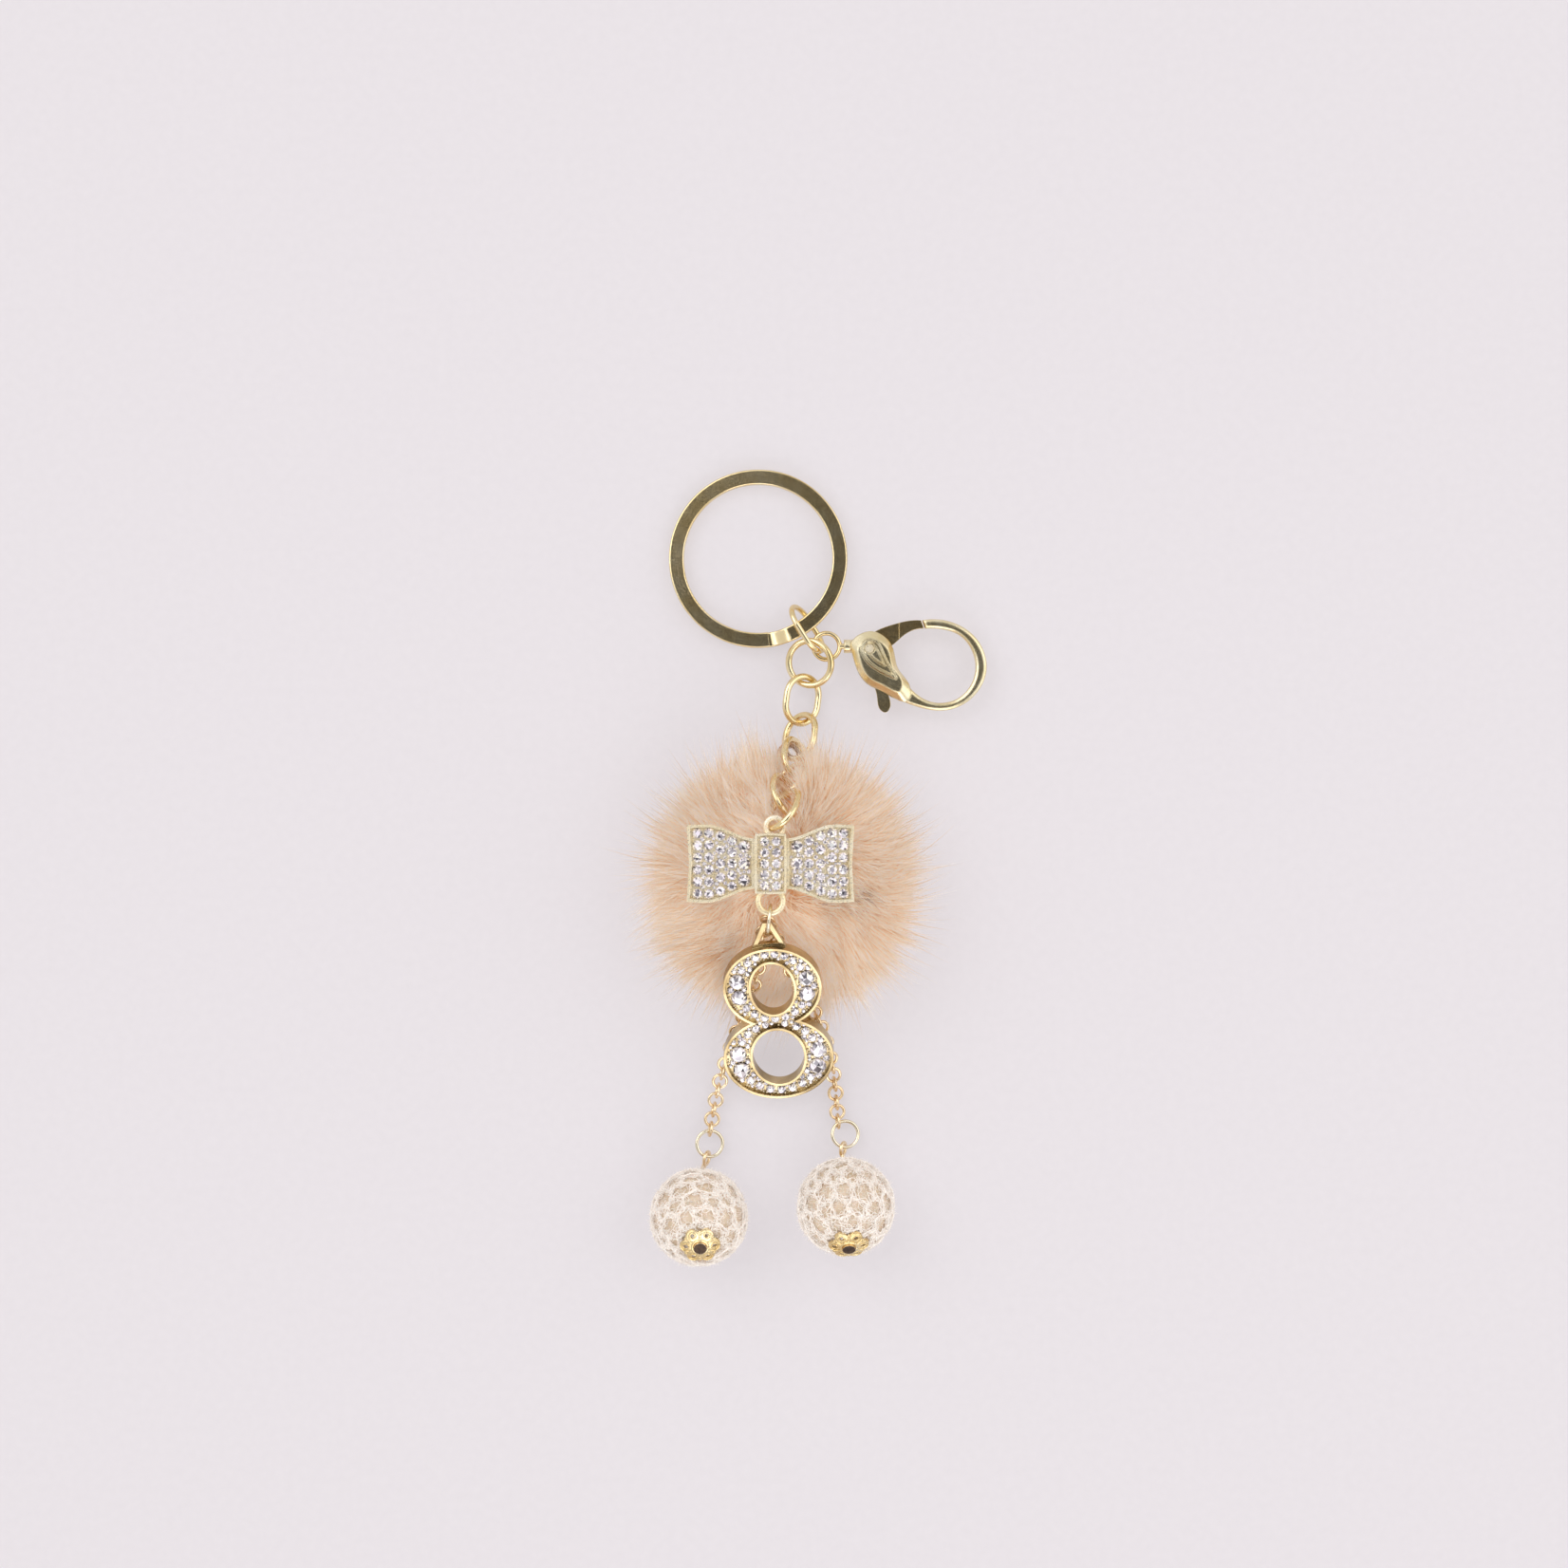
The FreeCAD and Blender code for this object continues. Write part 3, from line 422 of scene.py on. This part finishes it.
def fillers(casting, taken, lean, radius, rng):
    """Places on a casting's recessed floor where a stone of one radius fits between the others."""
    tree = BVHTree.FromObject(nodes[casting], bpy.context.evaluated_depsgraph_get())
    down = -(lean @ Vector((0, 0, 1)))
    floors = sorted({round(seat.z / FLOOR_STEP) for seat, _ in taken})
    found = []
    low_x, high_x = min(seat.x for seat, _ in taken), max(seat.x for seat, _ in taken)
    low_y, high_y = min(seat.y for seat, _ in taken), max(seat.y for seat, _ in taken)
    ring = [Vector((math.cos(k * math.pi / 4), math.sin(k * math.pi / 4), 0)) for k in range(8)]

    def on_floor(spot):
        hit = tree.ray_cast(lean @ (spot + Vector((0, 0, RAY_HEIGHT))), down)[0]
        if hit is None:
            return False
        return abs((lean.inverted() @ hit).z - spot.z) < FLOOR_ERROR

    for _ in range(FILLER_TRIES):
        x = rng.uniform(low_x - FILLER_REACH, high_x + FILLER_REACH)
        y = rng.uniform(low_y - FILLER_REACH, high_y + FILLER_REACH)
        height = floors[int(rng.integers(len(floors)))] * 0.05 * MM
        spot = Vector((x, y, height))
        crowded = any((other.xy - spot.xy).length < (size + radius) * FILLER_OVERLAP
                      for other, size in taken + found)
        if not crowded and all(on_floor(spot + step * radius) for step in ring):
            found.append((spot, radius))
    return found


def ball():
    """Corners and faces of a coarse unit ball."""
    made = bmesh.new()
    bmesh.ops.create_icosphere(made, subdivisions=1, radius=1.0)
    corners = [v.co.copy() for v in made.verts]
    faces = [[v.index for v in f.verts] for f in made.faces]
    made.free()
    return corners, faces


STONE_TIP = 0.06             # radians by which stones sit crooked


def cut_stones(name, places, lean, body, rng):
    """Faceted stones, each turned and tipped its own way."""
    points, faces = [], []
    for seat, radius in places:
        turn = Matrix.Rotation(rng.uniform(0, 2 * math.pi), 3, "Z")
        tip = Matrix.Rotation(rng.normal(0, STONE_TIP), 3, "X")
        tip = tip @ Matrix.Rotation(rng.normal(0, STONE_TIP), 3, "Y")
        first = len(points)
        points += [lean @ (seat + tip @ (turn @ corner) * radius) for corner in GEM_POINTS]
        faces += [[first + i for i in face] for face in GEM_FACES]
    return new_piece(name, points, faces, CRYSTAL, body, smooth=False)


def grains(name, places, lean, body):
    """Small gold balls, as (place, radius)."""
    corners, sides = ball()
    points, faces = [], []
    for seat, radius in places:
        first = len(points)
        points += [lean @ (seat + corner * radius) for corner in corners]
        faces += [[first + i for i in side] for side in sides]
    new_piece(name, points, faces, SETTING, body)


PRONGS = 4
PRONG_AT = 1.04              # a prong's distance from the stone's middle, as a share of its radius
PRONG_RISE = 1.3             # height of a prong's middle over the floor, in its own radii
GRAIN_RISE = 0.4
BOW_FILLERS = (0.4 * MM, 0.3 * MM)           # radii of the small stones between the CAD ones
EIGHT_FILLERS = (0.62 * MM, 0.5 * MM, 0.36 * MM)


def pave(casting, stone_nodes, body, tilt, filler_sizes, prong_r, rng):
    """Cut stones in the CAD stones' seats, small ones between them, and the grains that hold them."""
    lean = Matrix.Rotation(tilt, 3, "X")
    taken = []
    held = []
    for node in stone_nodes:
        places = seats(nodes[node].data, lean)
        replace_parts(cut_stones(f"{node}_cut", places, lean, body, rng), node)
        taken += places
    for seat, radius in taken:
        for k in range(PRONGS):
            turn = math.pi / 4 + k * math.pi / 2
            away = Vector((math.cos(turn), math.sin(turn), 0)) * radius * PRONG_AT
            held.append((seat + away + Vector((0, 0, prong_r * PRONG_RISE)), prong_r))
    small = []
    for size in filler_sizes:
        small += fillers(casting, taken + small, lean, size, rng)
    if small:
        cut_stones(f"{casting}_fillers", small, lean, body, rng)
    for seat, radius in fillers(casting, taken + small, lean, prong_r, rng):
        held.append((seat + Vector((0, 0, prong_r * GRAIN_RISE)), prong_r))
    grains(f"{casting}_grains", held, lean, body)


# ---- pompom ----
HAIR_COUNT = 62000
CLUMP_COUNT = 1500
HAIR_PIECES = 8
HAIR_R = 0.07 * MM
HAIR_LENGTH = 8.2 * MM
LENGTH_SPREAD = (0.5, 0.95)  # shortest length as a share of HAIR_LENGTH, and how much is added to it
STRAY_SHARE = 0.2
STRAY_STRETCH = (1.15, 1.6)
SAG = 0.12                   # how far tips sink, as a share of the hair's length
GREY_SPOT = Vector((BOW_HIGH.x + 3.0 * MM, BOW_LOW.y + 1.5 * MM))
GREY_SPOT_R = 2.6 * MM
GREY_SPOT_SHARE = 0.2
GREY_HAIR = 0.99             # the random value given to a hair of the grey spot
SKIN_SHARE = 0.78            # the hide's size as a share of the fur's
SKIN_SIZE = np.array([FUR_R, FUR_R, FUR_HALF_H]) * SKIN_SHARE
SKIN_CENTRE = np.array([FUR_MIDDLE.x, FUR_MIDDLE.y, FUR_MIDDLE.z - 0.4 * MM])
PARTING_R = 3.0 * MM         # fur kept clear of the chain
PILE = 2.6 * MM              # depth of pressed hair over the hide
FLOOR_GAP = 0.35 * MM
BOW_GAP = 0.25 * MM
BOW_INNER_Y = (3.2 * MM, 4 * MM)     # the bow presses from its lower edge + this to its upper - this
BOW_SLOPE = 1.3              # rise of the fur beside the bow
PENDANT_GAP = 7.2 * MM       # the fur's slope under the pendant's top corner
PENDANT_START = 3.8 * MM
PENDANT_HALF_W = 7.5 * MM
PENDANT_SLOPE = 1.1
RING_STEPS = (0.0, 0.3, 0.62, 0.85)


def unit(vectors):
    return vectors / np.linalg.norm(vectors, axis=1, keepdims=True)


def sphere_points(count, rng):
    """Even points over a unit sphere, slightly shaken."""
    i = np.arange(count) + 0.5
    polar = np.arccos(1 - 2 * i / count)
    around = math.pi * (1 + 5 ** 0.5) * i
    points = np.stack([np.cos(around) * np.sin(polar), np.sin(around) * np.sin(polar), np.cos(polar)], 1)
    return unit(points + rng.normal(0, 0.6 / math.sqrt(count), points.shape))


def waves(points, rng, size, count=10):
    """Smooth random vector field made of sines, at points in metres."""
    field = np.zeros_like(points)
    for _ in range(count):
        wave = rng.normal(0, 1, 3)
        wave *= 2 * math.pi / (size * np.linalg.norm(wave))
        field += np.sin(points @ wave + rng.uniform(0, 2 * math.pi))[:, None] * rng.normal(0, 1, 3)
    return field / math.sqrt(count)


def push_from_chain(points, radius):
    """Move points out of the corridor round the climbing chain."""
    for start, end in zip(CHAIN, CHAIN[1:]):
        a, b = np.array(start), np.array(end)
        along = np.clip((points - a) @ (b - a) / ((b - a) @ (b - a)), 0, 1)
        off = points - (a + along[:, None] * (b - a))
        need = np.clip(radius - np.linalg.norm(off, axis=1), 0, None)
        off[:, 0] += np.where(off[:, 0] >= 0, 1, -1) * 0.6 * MM
        points = points + unit(off) * need[:, None]
    return points


def press_down(points, depth):
    """Keep points a depth under the bow, under the pendant with its chains, and above the table."""
    x, y, z = points.T
    beside_bow = np.maximum(np.abs(x - (BOW_LOW.x + BOW_HIGH.x) / 2) - (BOW_HIGH.x - BOW_LOW.x) / 2, 0)
    below, above = BOW_INNER_Y
    beyond_bow = np.maximum(np.maximum(BOW_LOW.y + below - y, y - BOW_HIGH.y + above), 0)
    ceiling = BOW_LOW.z - BOW_GAP - depth + np.hypot(beside_bow, beyond_bow) * BOW_SLOPE
    z = np.minimum(z, ceiling)
    slope = EIGHT_HIGH.z - PENDANT_GAP - depth + (y - EIGHT_HIGH.y + PENDANT_START) * math.tan(EIGHT_TILT)
    beside = np.maximum(np.abs(x - (EIGHT_LOW.x + EIGHT_HIGH.x) / 2) - PENDANT_HALF_W, 0)
    behind = np.maximum(y - BOW_LOW.y - 3 * MM, 0)
    z = np.minimum(z, slope + beside * PENDANT_SLOPE + behind * 3.0)
    return np.stack([x, y, np.maximum(z, FLOOR_GAP)], 1)


def grow_hair(rng):
    """Centrelines of every hair: an array of hairs by steps by xyz."""
    direction = sphere_points(HAIR_COUNT, rng)
    roots = press_down(push_from_chain(SKIN_CENTRE + direction * SKIN_SIZE, PARTING_R + PILE * 0.6), PILE)
    normal = unit(direction / SKIN_SIZE)
    lift = np.clip(direction[:, 2], 0, 1)[:, None]
    comb = normal * (1.0 - 0.55 * lift) + direction * [1, 1, 0] * (0.35 + 0.5 * lift)
    comb = unit(comb + waves(roots, rng, 13 * MM) * 0.3 + rng.normal(0, 0.17, roots.shape))
    shortest, added = LENGTH_SPREAD
    length = HAIR_LENGTH * (shortest + added * rng.beta(1.8, 2.0, HAIR_COUNT))
    stray = rng.random(HAIR_COUNT) < STRAY_SHARE
    length = np.where(stray, length * rng.uniform(*STRAY_STRETCH, HAIR_COUNT), length)
    length *= (1 - 0.15 * lift[:, 0]) * (1 - 0.45 * np.clip(-direction[:, 2], 0, 1))
    tips = roots + comb * length[:, None]

    tree = KDTree(CLUMP_COUNT)
    chosen = rng.choice(HAIR_COUNT, CLUMP_COUNT, replace=False)
    for k, index in enumerate(chosen):
        tree.insert(roots[index], k)
    tree.balance()
    owner = np.array([chosen[tree.find(root)[1]] for root in roots])
    pull = np.where(stray, 0.05, rng.uniform(0.2, 0.6, HAIR_COUNT))[:, None]
    tips = tips * (1 - pull) + (roots[owner] + comb[owner] * length[owner][:, None]) * pull
    tips[:, 2] -= SAG * length

    bend = roots + normal * length[:, None] * 0.45
    lines = []
    for t in RING_STEPS + (1.0,):
        point = (1 - t) ** 2 * roots + 2 * t * (1 - t) * bend + t * t * tips
        depth = PILE * (1 - t) ** 1.5 * rng.uniform(0.3, 1.0, HAIR_COUNT)
        lines.append(press_down(push_from_chain(point, PARTING_R), depth))
    return np.stack(lines, 1)


def hair_piece(name, lines, ids, rng):
    """Three-sided tapering hairs along centrelines, with a bake map of (hair, place along it)."""
    count, steps = lines.shape[:2]
    rings = steps - 1
    along = np.gradient(lines, axis=1)
    along /= np.linalg.norm(along, axis=2, keepdims=True) + 1e-12
    spin = rng.normal(0, 1, (count, 1, 3))
    side = np.cross(along, spin)
    side /= np.linalg.norm(side, axis=2, keepdims=True) + 1e-12
    other = np.cross(along, side)
    taper = 1 - np.array(RING_STEPS) ** 1.5
    thickness = HAIR_R * rng.uniform(0.7, 1.25, (count, 1)) * taper
    corners = []
    for k in range(3):
        angle = 2 * math.pi * k / 3
        offset = side[:, :rings] * math.cos(angle) + other[:, :rings] * math.sin(angle)
        corners.append(lines[:, :rings] + offset * thickness[:, :, None])
    body = np.stack(corners, 2).reshape(count, rings * 3, 3)
    vertices = np.concatenate([body, lines[:, -1:]], 1)
    vertices[:, :, 2] = np.maximum(vertices[:, :, 2], 0.1 * MM)
    per_hair = rings * 3 + 1
    pattern = []
    for ring in range(rings - 1):
        for k in range(3):
            a, b = ring * 3 + k, ring * 3 + (k + 1) % 3
            pattern += [(a, b, b + 3), (a, b + 3, a + 3)]
    last = (rings - 1) * 3
    pattern += [(last + k, last + (k + 1) % 3, per_hair - 1) for k in range(3)]
    pattern = np.array(pattern)
    faces = (pattern[None] + (np.arange(count) * per_hair)[:, None, None]).reshape(-1, 3)
    height = np.array([RING_STEPS[i // 3] for i in range(rings * 3)] + [1.0])
    mesh = bpy.data.meshes.new(name)
    mesh.vertices.add(count * per_hair)
    mesh.vertices.foreach_set("co", vertices.ravel())
    mesh.loops.add(faces.size)
    mesh.loops.foreach_set("vertex_index", faces.ravel())
    mesh.polygons.add(len(faces))
    mesh.polygons.foreach_set("loop_start", np.arange(0, faces.size, 3))
    mesh.polygons.foreach_set("use_smooth", np.ones(len(faces), bool))
    mesh.update(calc_edges=True)
    layer = mesh.uv_layers.new(name="OFBake")
    flat = faces.ravel()
    uv = np.stack([ids[flat // per_hair], 0.02 + 0.96 * height[flat % per_hair]], 1)
    layer.data.foreach_set("uv", uv.ravel())
    mesh.materials.append(HAIR)
    piece = bpy.data.objects.new(name, mesh)
    bpy.context.scene.collection.objects.link(piece)
    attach(piece, "pompom")
    return piece


def skin_ball():
    """The stuffed hide that the hair grows from, with the same dents."""
    made = bmesh.new()
    bmesh.ops.create_icosphere(made, subdivisions=6, radius=1.0)
    points = np.array([v.co for v in made.verts])
    faces = [[v.index for v in f.verts] for f in made.faces]
    made.free()
    points = press_down(push_from_chain(SKIN_CENTRE + points * SKIN_SIZE, PARTING_R + PILE), PILE * 1.1)
    ball = new_piece("pompom_hide", points, faces, SKIN, "pompom")
    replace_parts(ball, "pompom_fur", "pompom_core")


def pompom():
    rng = np.random.default_rng(SEED)
    lines = grow_hair(rng)
    ids = rng.random(HAIR_COUNT) * GREY_FROM
    spot_distance = np.hypot(lines[:, -1, 0] - GREY_SPOT.x, lines[:, -1, 1] - GREY_SPOT.y)
    in_spot = (spot_distance < GREY_SPOT_R) & (rng.random(HAIR_COUNT) < GREY_SPOT_SHARE)
    ids = np.where(in_spot, GREY_HAIR, ids)
    angle = np.arctan2(lines[:, 0, 1] - FUR_MIDDLE.y, lines[:, 0, 0] - FUR_MIDDLE.x)
    sector = ((angle + math.pi) / (2 * math.pi) * HAIR_PIECES).astype(int) % HAIR_PIECES
    for k in range(HAIR_PIECES):
        chosen = sector == k
        hair_piece(f"pompom_fur_{k + 1}", lines[chosen], ids[chosen], rng)
    skin_ball()


CORD_STEPS = 220
CORD_TWISTS = 26
PLY_AT = 0.42                # a ply's middle and radius as shares of the cord's radius
PLY_R = 0.56
PLY_CORNERS = 8


def loop_cord():
    """Two-ply elastic cord in the place of the stitched loop."""
    low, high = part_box("pompom_loop")
    mesh = nodes["pompom_loop"].data
    centre = (low + high) / 2
    points = np.array([v.co for v in mesh.vertices])
    _, _, axes = np.linalg.svd(points - points.mean(0), full_matrices=False)
    long_axis, wide_axis, flat_axis = (Vector(a) for a in axes)
    spread = (points - points.mean(0)) @ axes.T
    wire = (spread[:, 2].max() - spread[:, 2].min()) / 2
    half_w = (spread[:, 1].max() - spread[:, 1].min()) / 2 - wire
    half_l = (spread[:, 0].max() - spread[:, 0].min()) / 2 - wire
    vertices, faces = [], []
    for ply in range(2):
        first = len(vertices)
        for i in range(CORD_STEPS):
            turn = 2 * math.pi * i / CORD_STEPS
            c, s = math.cos(turn), math.sin(turn)
            straight = half_l - half_w
            spot = centre + long_axis * (half_w * c + math.copysign(straight, c) * min(1, abs(c) * 4))
            spot += wide_axis * half_w * s
            out = (long_axis * c + wide_axis * s).normalized()
            twist = CORD_TWISTS * turn + math.pi * ply
            spot += (out * math.cos(twist) + flat_axis * math.sin(twist)) * wire * PLY_AT
            for k in range(PLY_CORNERS):
                around = 2 * math.pi * k / PLY_CORNERS
                ring = out * math.cos(around) + flat_axis * math.sin(around)
                vertices.append(spot + ring * wire * PLY_R)
        for i in range(CORD_STEPS):
            here, following = first + i * PLY_CORNERS, first + (i + 1) % CORD_STEPS * PLY_CORNERS
            for k in range(PLY_CORNERS):
                beside = (k + 1) % PLY_CORNERS
                faces.append((here + k, here + beside, following + beside, following + k))
    cord = new_piece("pompom_loop_cord", vertices, faces, ELASTIC, "pompom")
    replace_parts(cord, "pompom_loop")


# ---- lace nets ----
NET_CELLS = 92
BAND_W = 1.5 * MM            # a band of the net is a bundle of loose threads
BAND_THREADS = 9
THREAD_R = 0.055 * MM
LANE_SPREAD = 0.27           # spread of the threads across a band, as a share of its width
CURL = 0.4 * MM
RUN_STEPS = 8
RUN_OVERLAP = 0.12           # how far threads run on past the corners of a cell
FUZZ_COUNT = 5200
FUZZ_LENGTH = (0.4, 1.2)     # millimetres


class Tubes:
    """Collects round threads into one mesh."""

    def __init__(self):
        self.points = []
        self.faces = []

    def add(self, line, radii, outs, corners=5):
        """Tube along a line of points, with a radius and an outward direction at each."""
        first = len(self.points)
        for i, (spot, radius, out) in enumerate(zip(line, radii, outs)):
            along = line[min(i + 1, len(line) - 1)] - line[max(i - 1, 0)]
            side = out.cross(along).normalized()
            up = along.cross(side).normalized()
            for k in range(corners):
                turn = 2 * math.pi * k / corners
                self.points.append(spot + (side * math.cos(turn) + up * math.sin(turn)) * radius)
        for i in range(len(line) - 1):
            for k in range(corners):
                here, beside = first + i * corners + k, first + i * corners + (k + 1) % corners
                self.faces.append((here, beside, beside + corners, here + corners))
        last = first + (len(line) - 1) * corners
        self.faces.append(tuple(first + k for k in reversed(range(corners))))
        self.faces.append(tuple(last + k for k in range(corners)))


def net_runs(rng):
    """Edges between the cells of a net on a unit sphere."""
    made = bmesh.new()
    for point in sphere_points(NET_CELLS, rng):
        made.verts.new(point)
    bmesh.ops.convex_hull(made, input=made.verts[:])
    made.faces.ensure_lookup_table()
    middles = [face.calc_center_median().normalized() for face in made.faces]
    made.faces.index_update()
    runs = [tuple(middles[face.index] for face in edge.link_faces) for edge in made.edges]
    made.free()
    return runs


def net(side, rng):
    """Knitted net round the pearl: soft cells between loose bands of fluffy thread."""
    low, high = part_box(f"{side}_net")
    centre = (low + high) / 2
    radius = (high.x - low.x) / 2
    tubes = Tubes()
    for a, b in net_runs(rng):
        across = (a + b).cross(b - a).normalized()
        for _ in range(BAND_THREADS):
            offsets = across * rng.normal(0, LANE_SPREAD) * BAND_W
            swing = across * rng.normal(0, CURL)
            waves_along = rng.uniform(0.7, 1.4)
            height = radius - THREAD_R + rng.uniform(-0.3, 0.25) * MM
            line = []
            for step in range(RUN_STEPS):
                t = (1 + 2 * RUN_OVERLAP) * step / (RUN_STEPS - 1) - RUN_OVERLAP
                spot = a.lerp(b, t).normalized() * height
                pinch = 1 - 0.35 * math.sin(math.pi * min(1, max(0, t)))
                spot = centre + spot + offsets * pinch + swing * math.sin(2 * math.pi * t * waves_along)
                spot.z = max(spot.z, 2 * THREAD_R)
                line.append(spot)
            outs = [(spot - centre).normalized() for spot in line]
            tubes.add(line, [THREAD_R * rng.uniform(0.7, 1.2)] * len(line), outs)
    for _ in range(FUZZ_COUNT):
        out = Vector(rng.normal(0, 1, 3)).normalized()
        lean = (out + Vector(rng.normal(0, 0.8, 3))).normalized()
        length = rng.uniform(*FUZZ_LENGTH) * MM
        root = centre + out * (radius - 0.25 * MM)
        tip = root + lean * length
        tip.z = max(tip.z, FLOOR_GAP)
        tubes.add([root, tip], [0.04 * MM, 0.01 * MM], [out, out], corners=3)
    lace = new_piece(f"{side}_lace", tubes.points, tubes.faces, LACE, f"{side}_bead")
    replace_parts(lace, f"{side}_net")


# ---- bead caps ----
PETALS = 6
PETAL_RINGS = ((2.2, 1.02, 0.17, 20), (2.35, 0.5, 0.12, 12))     # place, radius and wire in mm, steps
BETWEEN_RING = (2.75, 0.14, 0.14, 8)
COLLAR = (1.3, 0.26, 24)     # radius and wire in mm, steps
EYELET_R = 1.14 * MM
EYELET_RISE = 0.5 * MM
EYELET_STEPS = 24


def on_cap(side):
    """Centre of a bead, its outward pole through the flower cap, and two directions across it."""
    centre = middle(f"{side}_net")
    points = np.array([v.co for v in nodes[f"{side}_flower_cap"].data.vertices])
    pole = (Vector(points.mean(0)) - centre).normalized()
    along = Vector((1, 0, 0)) - pole * pole.x
    along.normalize()
    reach = max(np.linalg.norm(points - np.array(centre), axis=1))
    return centre, pole, along, pole.cross(along), reach


def ring_line(centre, pole, along, across, reach, middle_at, radius, count):
    """Points of a small circle drawn on the cap's sphere round a spot beside the pole."""
    line = []
    for i in range(count + 1):
        turn = 2 * math.pi * i / count
        flat = middle_at + Vector((math.cos(turn), math.sin(turn))) * radius
        direction = along * flat.x + across * flat.y + pole * math.sqrt(reach ** 2 - flat.length_squared)
        line.append(centre + direction)
    return line


def filigree(side):
    """Raised petal rims and grains on the flower cap, with a dark disc of painted shade over the eyelet in
    its middle.
    """
    centre, pole, along, across, reach = on_cap(side)
    tubes = Tubes()

    def ring(middle_at, radius, wire, count):
        line = ring_line(centre, pole, along, across, reach, middle_at, radius * MM, count)
        outs = [(spot - centre).normalized() for spot in line]
        tubes.add(line, [wire * MM] * len(line), outs, corners=8)

    for i in range(PETALS):
        turn = 2 * math.pi * i / PETALS
        away = Vector((math.cos(turn), math.sin(turn)))
        for place, *shape in PETAL_RINGS:
            ring(away * place * MM, *shape)
        between = Vector((math.cos(turn + math.pi / PETALS), math.sin(turn + math.pi / PETALS)))
        place, *shape = BETWEEN_RING
        ring(between * place * MM, *shape)
    ring(Vector((0, 0)), *COLLAR)
    new_piece(f"{side}_filigree", tubes.points, tubes.faces, CAST_GOLD, f"{side}_bead")

    count = EYELET_STEPS
    line = ring_line(centre, pole, along, across, reach + EYELET_RISE, Vector((0, 0)), EYELET_R, count)[:-1]
    top = sum(line, Vector()) / len(line)
    deep = [top + (spot - top) * 0.9 - pole * 0.02 * MM for spot in line]
    faces = [tuple(range(count))]
    faces += [(k, (k + 1) % count, count + (k + 1) % count, count + k) for k in range(count)]
    faces.append(tuple(reversed(range(count, 2 * count))))
    lifted = [spot + pole * 0.06 * MM for spot in deep]
    # painted shade: a dark disc over the eyelet's mouth
    new_piece(f"{side}_eyelet", line + lifted, faces, EYELET_SHADE, f"{side}_bead", smooth=False)


# ---- CAD finishes ----
def finishes():
    for name in nodes:
        dress(name, GOLD)
    dress("clasp_body", CLASP_GOLD)
    dress("clasp_trigger", CAST_GOLD)
    dress("bow_casting", SETTING)
    dress("eight_casting", ANTIQUE)
    dress("clasp_spring", STEEL)
    dress("clasp_rivet", SETTING)
    dress("connector_ring", SILVER_GOLD)
    for side in SIDES:
        for third in ("upper", "middle", "lower"):
            dress(f"{side}_chain_{third}", ROSE_GOLD)
        dress(f"{side}_ring", SILVER_GOLD)
        dress(f"{side}_pin", ROSE_GOLD)
        dress(f"{side}_flower_cap", CAST_GOLD)
        dress(f"{side}_plain_cap", CAST_GOLD)
        dress(f"{side}_pearl", PEARL)


# ---- stage ----
CAMERA_HEIGHT = 0.734
LAMPS = (                    # name, place, size, power
    ("key", (-0.45, 0.35, 0.75), 0.8, 3.4),
    ("fill", (0.55, 0.1, 0.6), 0.9, 2.3),
    ("foot", (0.05, -0.7, 0.5), 0.6, 2.0),
)
SKY_LEVELS = ((0.0, 0.9), (0.45, 1.0), (0.8, 1.0), (0.91, 0.4), (0.965, 0.09))   # dark straight above
SKY_STRENGTH = 0.8
VIEW_MIDDLE = Vector((-5.9 * MM, 13.665 * MM, 0))


def stage():
    bpy.ops.mesh.primitive_plane_add(size=6, location=(0, 0, -0.02 * MM))
    floor = bpy.context.object
    floor.name = "floor"
    floor.data.materials.append(paper())

    world = bpy.data.worlds.new("studio")
    world.use_nodes = True
    tree = world.node_tree
    place = tree.nodes.new("ShaderNodeTexCoord")
    split = tree.nodes.new("ShaderNodeSeparateXYZ")
    ramp = tree.nodes.new("ShaderNodeValToRGB")
    tree.links.new(place.outputs["Generated"], split.inputs[0])
    tree.links.new(split.outputs["Z"], ramp.inputs["Fac"])
    tree.links.new(ramp.outputs["Color"], tree.nodes["Background"].inputs["Color"])
    while len(ramp.color_ramp.elements) < len(SKY_LEVELS):
        ramp.color_ramp.elements.new(0.5)
    for element, (position, level) in zip(ramp.color_ramp.elements, SKY_LEVELS):
        element.position = position
        element.color = (level, level * 0.985, level * 0.975, 1)
    tree.nodes["Background"].inputs["Strength"].default_value = SKY_STRENGTH
    bpy.context.scene.world = world

    for name, place, size, power in LAMPS:
        light = bpy.data.lights.new(name, "AREA")
        light.size = size
        light.energy = power
        light.color = (1.0, 0.985, 0.965)
        lamp = bpy.data.objects.new(name, light)
        lamp.location = place
        lamp.rotation_euler = (-Vector(place)).to_track_quat("-Z", "Y").to_euler()
        bpy.context.scene.collection.objects.link(lamp)

    camera = bpy.data.cameras.new("camera")
    camera.lens = 100
    camera.sensor_width = 36
    viewer = bpy.data.objects.new("camera", camera)
    viewer.location = VIEW_MIDDLE + Vector((0, 0, CAMERA_HEIGHT))
    bpy.context.scene.collection.objects.link(viewer)
    bpy.context.scene.camera = viewer
    bpy.context.scene.view_settings.view_transform = "Standard"


def main():
    stage()
    finishes()
    rng = np.random.default_rng(SEED)
    bow_stones = ("bow_left_stones", "bow_right_stones", "bow_knot_stones")
    pave("bow_casting", bow_stones, "bow", 0.0, BOW_FILLERS, 0.17 * MM, rng)
    eight_stones = ("eight_large_stones", "eight_small_stones")
    pave("eight_casting", eight_stones, "eight", EIGHT_TILT, EIGHT_FILLERS, 0.2 * MM, rng)
    pompom()
    loop_cord()
    for side in SIDES:
        net(side, rng)
        filigree(side)


main()
